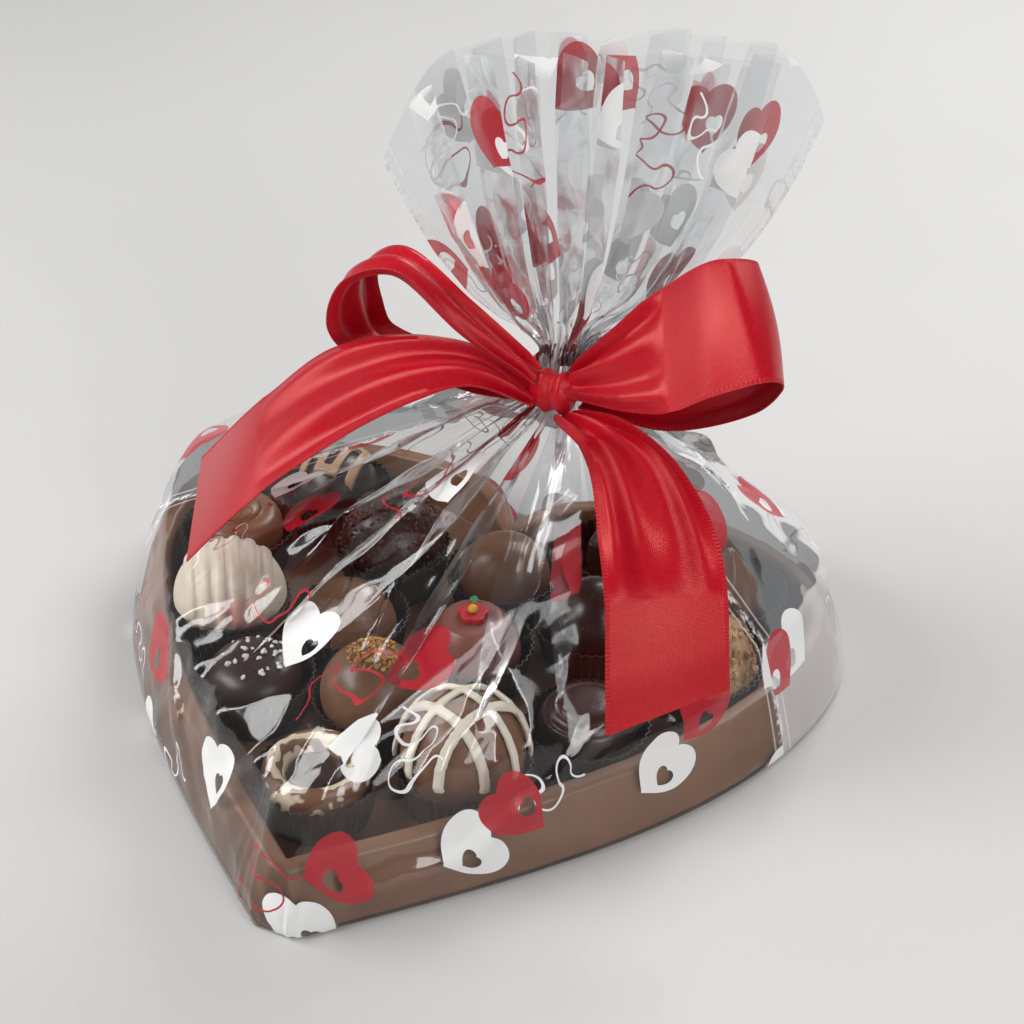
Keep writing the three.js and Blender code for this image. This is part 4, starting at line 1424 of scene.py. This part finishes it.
        def flat(line: Row, z: float) -> Row:
            """The plan line lifted to a height."""
            return [Vector((p.x, p.y, z)) for p in line]

        low, high = self.tie - self.tie_length / 2, self.tie + self.tie_length / 2
        neck_low = self.neck_ring(front, low, 0.0)
        shoulder = [p.lerp(q, self.shoulder_inset) for p, q in zip(flat(rim, 0), neck_low)]
        shoulder = [Vector((p.x, p.y, self.shoulder)) for p in shoulder]
        reach = abs(heel[0].x)
        under = [Vector((clamp(p.x, -reach, reach), fold, 0.15)) for p in heel]
        tent = [[p.lerp(q, share) for p, q in zip(shoulder, neck_low)] for share in (0.35, 0.7, 0.9)]
        rings = [(under, 0), (flat(heel, 0.15), 8), (flat(foot, 1.0), 3), (flat(rim, self.rim_top), 9)]
        rings += [(shoulder, 12), (tent[0], 28), (tent[1], 24), (tent[2], 12), (neck_low, 8)]
        rings += [(self.neck_ring(front, high, self.fan_turn), 6)]
        fan = ((0.1, 4), (0.25, 6), (0.5, 9), (0.75, 9), (1, 9))
        rings += [(self.fan_ring(front, up), steps) for up, steps in fan]
        return rings

    def rows(self, front: bool) -> list[Row]:
        """All the rows of a panel with its creases, in millimetres."""
        rings = self.key_rings(front)
        rows = [rings[0][0]]
        for (below, _), (above, steps) in zip(rings, rings[1:]):
            for k in range(1, steps + 1):
                rows.append([p.lerp(q, k / steps) for p, q in zip(below, above)])
        for _ in range(2):
            rows = [rows[0]] + [
                [(a + 2 * b + c) / 4 for a, b, c in zip(low, mid, high)]
                for low, mid, high in zip(rows, rows[1:], rows[2:])
            ] + [rows[-1]]
        return rows

    def slid(self, row: Row, shape: list[tuple[float, float]], overlap: float) -> Row:
        """A row with its folds' faces slid over each other.

        Args:
            row: The plain row.
            shape: Each column's offset and slide.
            overlap: How far the faces slide.

        Returns:
            The slid row.
        """
        made = []
        for c, (_, slide) in enumerate(shape):
            place = clamp(c + overlap * slide * self.columns, 0.0, float(self.columns))
            k = min(int(place), self.columns - 1)
            made.append(row[k].lerp(row[k + 1], place - k))
        return made

    def overlap(self, row: Row, shape: list[tuple[float, float]]) -> float:
        """How far a row's faces slide over each other to take up the film's spare width.

        Args:
            row: The plain row.
            shape: Each column's offset and slide.

        Returns:
            The overlap.
        """
        low, high = 0.0, self.most_overlap
        for _ in range(8):
            middle = (low + high) / 2
            line = self.slid(row, shape, middle)
            long = sum(math.hypot((b - a).length, g[0] - f[0])
                       for a, b, f, g in zip(line, line[1:], shape, shape[1:]))
            low, high = (middle, high) if long < self.kept_width * self.width else (low, middle)
        return low

    def crease(self, rows: list[Row], front: bool) -> list[Row]:
        """Folds the plain rows along their normals: gathers near the neck, dents and crackle below.

        Args:
            rows: The plain rows.
            front: Whether it is the front panel.

        Returns:
            The creased rows.
        """
        seed = 1.0 if front else 4.0
        dice = random.Random(11 if front else 23)
        folds = self.zigzag(dice, self.fold_widths, self.under_share, (1.0, 1.0, 0.8, 0.6))
        pleats = self.zigzag(dice, self.pleat_widths, 0.5, (0.15, 0.2, 0.3, 0.4, 0.6))
        ridges = self.ridge_lines(front)
        creased = []
        for r, row in enumerate(rows):
            shape = self.folded(max(p.z for p in row), folds, pleats)
            overlap = self.overlap(row, shape)
            line = self.slid(row, shape, overlap)
            made = []
            for c, p in enumerate(line):
                share = c / self.columns
                edge = min(1.0, 14 * min(share, 1 - share))
                normal = normal_at(rows, r, c) * (1 if front else -1)
                out = shape[c][0] + self.dents(share, p.z, seed) + self.ridges(share, p.z, ridges)
                made.append(p + normal * out * edge)
            creased.append(made)
        return creased

    def ridge_lines(self, front: bool) -> list[Crease]:
        """The long creases of a panel: each has two ends on it, a height and a half width.

        Args:
            front: Whether it is the front panel.

        Returns:
            The creases, in millimetres.
        """
        dice = random.Random(31 if front else 47)
        lines = []
        for x0, z0, x1, z1, high, wide in self.front_creases if front else ():
            lines.append((Vector((x0 * self.width, z0)), Vector((x1 * self.width, z1)), high, wide))
        for _ in range(self.creases):
            middle = Vector((dice.uniform(0.05, 0.95) * self.width, dice.uniform(14, 78)))
            turn, half = dice.gauss(0, 0.6), dice.uniform(12, 36)
            reach = Vector((half * math.cos(turn), half * math.sin(turn)))
            lines.append((middle - reach, middle + reach, dice.uniform(0.8, 2.4), dice.uniform(5, 11)))
        return lines

    def ridges(self, share: float, z: float, lines: list[Crease]) -> float:
        """How far the tallest crease over a place of the panel lifts it, in millimetres."""
        lift = 0.0
        if not 4 < z < self.tie:
            return lift
        place = Vector((share * self.width, z))
        for first, last, high, wide in lines:
            way = last - first
            along = clamp((place - first).dot(way) / way.length_squared)
            away = (place - first - way * along).length
            taper = min(4 * along, 4 * (1 - along), 1.0)
            lift = max(lift, high * max(1 - away / wide, 0.0) * lerp(0.35, 1.0, taper))
        return lift

    def dents(self, share: float, z: float, seed: float) -> float:
        """The film's own creases and hollows away from the gathers, in millimetres.

        Args:
            share: The share of the way across the panel.
            z: The height in millimetres.
            seed: The panel's seed.

        Returns:
            The outward offset.
        """
        if z < 0.5:
            return 0.0
        reach = min(z / 12, 1)
        tent = clamp((z - self.rim_top) / 20) * (1 if z < self.tie - self.tie_length else 0.3)
        broad = 2.2 * wander(6 * share, 0.025 * z, seed) + 0.8
        sharp = 1 - 2 * abs(wander(10 * share + 0.04 * z, 0.05 * z - 3 * share, seed + 3))
        fine = 1 - 2 * abs(wander(26 * share - 0.06 * z, 0.12 * z + 4 * share, seed + 5))
        tip = max(1 - abs(share - 0.5) / 0.07, 0.0) * max(1 - z / 40, 0.0) if seed < 2 else 0.0
        gather = abs(wander(95 * share - 0.03 * z, 0.02 * z, 8.0)) * 5.5 * tip
        return broad * tent + (0.8 * sharp + 0.35 * fine) * reach + gather * min(z / 2, 1)

    def build(self) -> None:
        """Builds and dresses the two panels of the bag."""
        material = FILM.build()
        for front in (True, False):
            plain = self.rows(front)
            self.width = run_lengths(self.panel_line(self.slack + 0.8, front))[-1]
            rows = self.crease(plain, front)
            panel = grid_piece("film_panel_front" if front else "film_panel_back",
                               [[p * MM for p in row] for row in rows])
            tie_row = min(range(len(plain)), key=lambda r: abs(plain[r][0].z - self.tie))
            lengths = list(zip(*(run_lengths(column) for column in zip(*plain))))
            flip = 0.0 if front else 0.41

            def flat(row: int, column: int) -> tuple[float, float]:
                """The flat place of a point of the panel in metres."""
                up = lengths[row][column] - lengths[tie_row][column]
                return column / self.columns * self.width * MM + flip, up * MM + 0.3 + flip

            map_sheet(panel, self.columns + 1, flat)
            weld = panel.data.attributes.new("weld", "FLOAT", "POINT")
            for index, place in enumerate(weld.data):
                column = index % (self.columns + 1)
                place.value = min(column, self.columns - column) / self.columns * self.width * MM
            smooth(panel, 40)
            dress(panel, material, Slot.FILM, stands_for=["film_front" if front else "film_back"])
            long = sum(lengths[-1]) / len(lengths[-1])
            area = sum(p.area for p in panel.data.polygons)
            log.info("%s: %.1f by %.1f mm, share %.2f", panel.name, self.width, long,
                     area / (self.width * long * MM * MM))


# The ribbon bow


@dataclass
class Ribbon:
    """One visible length of the bow's ribbon, between two edges given from the middle of the knot."""

    name: str
    node: str
    stations: Sequence[tuple[Point, Point]]
    steps: int = 120
    across: int = 20
    crown: float = 1.5
    pleats: int = 5
    pleat_limit: float = 1.5
    width: float = RIBBON_WIDTH

    def build(self, knot: Vector, material: bpy.types.Material) -> None:
        """Builds and dresses this length.

        Args:
            knot: The middle of the knot in millimetres.
            material: The satin.
        """
        near = [Vector(a) + knot for a, _ in self.stations]
        far = [Vector(b) + knot for _, b in self.stations]
        rows = []
        for i in range(self.steps + 1):
            t = i / self.steps
            a, b = catmull(near, t), catmull(far, t)
            rows.append([a.lerp(b, k / self.across) for k in range(self.across + 1)])
        rows = self.shaped(rows)
        lengths = run_lengths([row[self.across // 2] for row in rows])
        strip = grid_piece(self.name, [[p * MM for p in row] for row in rows])
        map_sheet(strip, self.across + 1,
                  lambda row, column: (column / self.across * self.width * MM, lengths[row] * MM))
        applied(strip, "SOLIDIFY", thickness=0.3 * MM, offset=0)
        smooth(strip, 60)
        dress(strip, material, Slot.SATIN, stands_for=[self.node])
        log.info("%s: %.1f mm of ribbon", self.name, lengths[-1])

    def shaped(self, rows: list[Row]) -> list[Row]:
        """Gives the strip its crown, and the pleats that take up its width where the knot pinches it.

        Args:
            rows: The plain rows.

        Returns:
            The shaped rows.
        """
        made = []
        last = len(rows) - 1
        for r, row in enumerate(rows):
            t = r / last
            wide = (row[-1] - row[0]).length
            spare = math.sqrt(max(self.width**2 - wide**2, 0)) / (2 * self.pleats)
            deep = min(spare, self.pleat_limit) * min(1.0, 25 * t + 0.4)
            points = []
            for k, p in enumerate(row):
                u = k / self.across
                bulge = self.crown * math.sin(math.pi * u) * math.sin(math.pi * t)
                fold = deep * math.cos(self.pleats * math.pi * (u + 0.06 * math.sin(math.tau * u)))
                points.append(p + normal_at(rows, r, k) * (bulge + fold))
            made.append(points)
        return made


LOOP_LEFT = [
    ((-4, -5, 4), (-4, 2, 6)), ((-20, -11, 17.4), (-25, 4, 20)), ((-37.5, -14, 33.5), (-45.5, 11, 26.5)),
    ((-51, -12, 28), (-56, 15, 18)), ((-61, -4, 11), (-60, 24, 2)), ((-63, 6, -3), (-59, 30, -11)),
    ((-46, 11, -9), (-43, 28, -14)), ((-24, 4, -7), (-22, 15, -9)), ((-5, 0, -3), (-5, 5, -4)),
]
LOOP_RIGHT = [
    ((4.5, -4, 2), (4, 2, 6)), ((22, -11, 6), (14.5, 3, 19)), ((36.5, -16, 12), (26, 7, 32)),
    ((48, -19, 21), (38.5, 4, 44)), ((61, -18, 27.5), (44, 4, 46)), ((63, -10, 22), (49, 11, 42)),
    ((55, -3, 8), (42, 15, 30)), ((31, 0, -5), (22, 15, 12)), ((7, 1, -4), (7, 4, 3)),
]
TAIL_LEFT = [
    ((-4, -5, -3), (-4.5, -1, 2)), ((-18, -13, 4), (-21, 1, 9)), ((-31, -17, -1), (-44, 2, 7)),
    ((-55.4, -20, -19), (-66, 4, -4)), ((-77, -26, -38), (-87, 2, -25)), ((-97, -28, -62), (-113, 13, -57)),
]
TAIL_RIGHT = [
    ((1, -3, -6), (6, -2, -4)), ((10, -12, -5), (22, -6, -1)), ((14.5, -13, -14), (36, -9, -6)),
    ((21.5, -24, -26), (48, -12, -22)), ((28, -37, -34), (55, -20, -35.5)),
    ((31.4, -45, -50), (58, -26, -48)), ((33.6, -50, -66.5), (59.5, -28, -60)),
]


@dataclass
class Bow:
    """The satin bow: two loops, two tails, the knot and the band round the neck."""

    band_steps: int = 96

    lengths: Sequence[Ribbon] = (
        Ribbon("ribbon_loop_left", "bow_loop_left", LOOP_LEFT, 160),
        Ribbon("ribbon_loop_right", "bow_loop_right", LOOP_RIGHT, 160, crown=-1.5),
        Ribbon("ribbon_tail_left", "bow_tail_left", TAIL_LEFT, 130),
        Ribbon("ribbon_tail_right", "bow_tail_right", TAIL_RIGHT, 110),
    )

    def knot(self, material: bpy.types.Material) -> Vector:
        """Builds the knot, a wrap of ribbon with folds pressed into it.

        Args:
            material: The satin.

        Returns:
            The middle of the knot in millimetres.
        """
        low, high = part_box("bow_knot")
        middle, half = (low + high) / 2, (high - low) / 2
        bpy.ops.object.select_all(action="DESELECT")
        bpy.ops.mesh.primitive_uv_sphere_add(segments=64, ring_count=40, radius=1)
        knot = bpy.context.object
        knot.name = "ribbon_knot"
        turns = []
        for vert in knot.data.vertices:
            across, up, x = vert.co
            turn = math.atan2(up, across)
            turns.append(turn)
            barrel = (1 - abs(x) ** 4) ** 0.4 * (0.86 + 0.08 * x * x)
            crease = ridge(1.25 * x + 0.14 * math.sin(turn + 0.8) + 0.1) * (1 - x * x)
            reach = barrel * (1 + 0.13 * crease)
            vert.co = (middle.x + half.x * x, middle.y - half.y * math.cos(turn) * reach,
                       middle.z + half.z * math.sin(turn) * reach)
        layer = knot.data.uv_layers.active or knot.data.uv_layers.new(name="flat")
        for loop in knot.data.loops:
            co = knot.data.vertices[loop.vertex_index].co
            across = co.x - middle.x + RIBBON_WIDTH * MM / 2
            layer.data[loop.index].uv = (across, turns[loop.vertex_index] * half.z)
        smooth(knot, 60)
        dress(knot, material, Slot.SATIN, stands_for=["bow_knot"])
        return middle / MM

    def band(self, material: bpy.types.Material) -> None:
        """Builds the band round the neck: the ribbon's width folded in four layers.

        Args:
            material: The satin.
        """
        low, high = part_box("neck_band")
        middle = (low + high) / 2
        radius = (high.x - low.x) / 2 - 1.5 * MM
        high.z -= 4 * MM
        top, foot = high.z, low.z
        path = [
            (0, foot), (0.1, top - 0.4 * MM), (0.35, top), (0.6, top - 0.4 * MM), (0.5, foot + 1 * MM),
            (0.75, foot + 0.4 * MM), (1.0, foot + 1 * MM), (0.9, top - 1.4 * MM),
            (1.15, top - 0.9 * MM), (1.4, top - 1.4 * MM), (1.3, foot + 2 * MM),
        ]
        rows = []
        for out, z in path:
            ring = []
            for k in range(self.band_steps + 1):
                turn = math.tau * k / self.band_steps
                wave = 0.12 * math.sin(7 * turn + 900 * z)
                reach = radius + (out + wave) * MM
                x, y = middle.x + reach * math.cos(turn), middle.y + reach * math.sin(turn)
                ring.append(Vector((x, y, z)))
            rows.append(ring)
        band = grid_piece("ribbon_band", rows)
        lengths = [0.0]
        for a, b in zip(path, path[1:]):
            lengths.append(lengths[-1] + math.hypot((b[0] - a[0]) * MM, b[1] - a[1]))
        around = math.tau * radius
        map_sheet(band, self.band_steps + 1,
                  lambda row, column: (lengths[row], around * column / self.band_steps))
        with editing(band):
            bpy.ops.mesh.remove_doubles(threshold=0.001 * MM)
        smooth(band, 70)
        dress(band, material, Slot.SATIN, stands_for=["neck_band"])

    def build(self) -> None:
        """Builds and dresses the whole bow."""
        satin = SATIN.build()
        middle = self.knot(satin)
        self.band(satin)
        for length in self.lengths:
            length.build(middle, satin)


# The studio


@dataclass
class Studio:
    """The pale floor, the soft lights and the camera."""

    azimuth: float = 21.4
    elevation: float = 35.61
    distance: float = 761.0
    target: Point = (-11.4, 97.9, 0.0)
    lens: float = 84.375
    aim: Point = (0.0, 0.0, 60.0)
    floor_deep: Colour = (0.5, 0.495, 0.485)
    floor_light: Colour = (0.53, 0.525, 0.515)

    def camera(self) -> None:
        """Places the camera at the photograph's angle."""
        turn, rise = math.radians(self.azimuth), math.radians(self.elevation)
        back = Vector((math.sin(turn) * math.cos(rise), -math.cos(turn) * math.cos(rise), math.sin(rise)))
        data = bpy.data.cameras.new("camera")
        data.lens = self.lens
        data.sensor_width = 36.0
        data.clip_start = 0.01
        obj = linked("camera", data)
        obj.location = (Vector(self.target) + back * self.distance) * MM
        obj.rotation_euler = (-back).to_track_quat("-Z", "Y").to_euler()
        bpy.context.scene.camera = obj

    def floor(self) -> None:
        """Lays the floor just under the part."""
        bpy.ops.object.select_all(action="DESELECT")
        bpy.ops.mesh.primitive_plane_add(size=6.0, location=(0, 0, -0.0002))
        plane = bpy.context.object
        plane.name = "floor"
        material, graph, out = new_material("pale floor")
        where = graph.node("ShaderNodeTexCoord").outputs["Object"]
        mottle = placed(graph, MOTTLE, Vector=where, Cloud_Scale=3.0, Grain_Scale=500.0)
        shade = graph.blend(mottle.outputs["Mask"], self.floor_deep, self.floor_light)
        graph.coat(out, Base_Color=shade, Roughness=0.6)
        plane.data.materials.append(material)

    def lamp(self, name: str, place: Point, size: tuple[float, float], power: float) -> None:
        """Hangs one soft lamp that looks at the part.

        Args:
            name: Its name.
            place: Its place in millimetres.
            size: Its width and height in millimetres.
            power: Its power in watts.
        """
        data = bpy.data.lights.new(name, "AREA")
        data.shape = "RECTANGLE"
        data.size, data.size_y = size[0] * MM, size[1] * MM
        data.energy = power
        obj = linked(name, data)
        obj.location = Vector(place) * MM
        way = Vector(self.aim) - Vector(place)
        obj.rotation_euler = way.to_track_quat("-Z", "Y").to_euler()

    def build(self) -> None:
        """Builds the whole studio."""
        self.camera()
        self.floor()
        self.lamp("key", (-650, -450, 800), (700, 450), 9.0)
        self.lamp("fill", (900, -500, 600), (500, 500), 3.5)
        self.lamp("back", (200, 800, 700), (600, 350), 7.5)
        self.lamp("left strip", (-700, -100, 300), (90, 700), 1.6)
        self.lamp("right strip", (600, -500, 500), (90, 700), 1.6)
        world = bpy.data.worlds.new("studio")
        bpy.context.scene.world = world
        world.use_nodes = True
        world.node_tree.nodes["Background"].inputs[0].default_value = (0.9, 0.92, 0.95, 1)
        world.node_tree.nodes["Background"].inputs[1].default_value = 0.24
        bpy.context.scene.view_settings.view_transform = "Standard"


def main() -> None:
    """Builds every sub-assembly in order."""
    logging.basicConfig(level=logging.INFO, format="%(message)s")
    Studio().build()
    HeartTray().build()
    assortment = Assortment()
    CupSet().build(assortment.names)
    assortment.build()
    FilmBag().build()
    Bow().build()


if __name__ == "__main__":
    main()
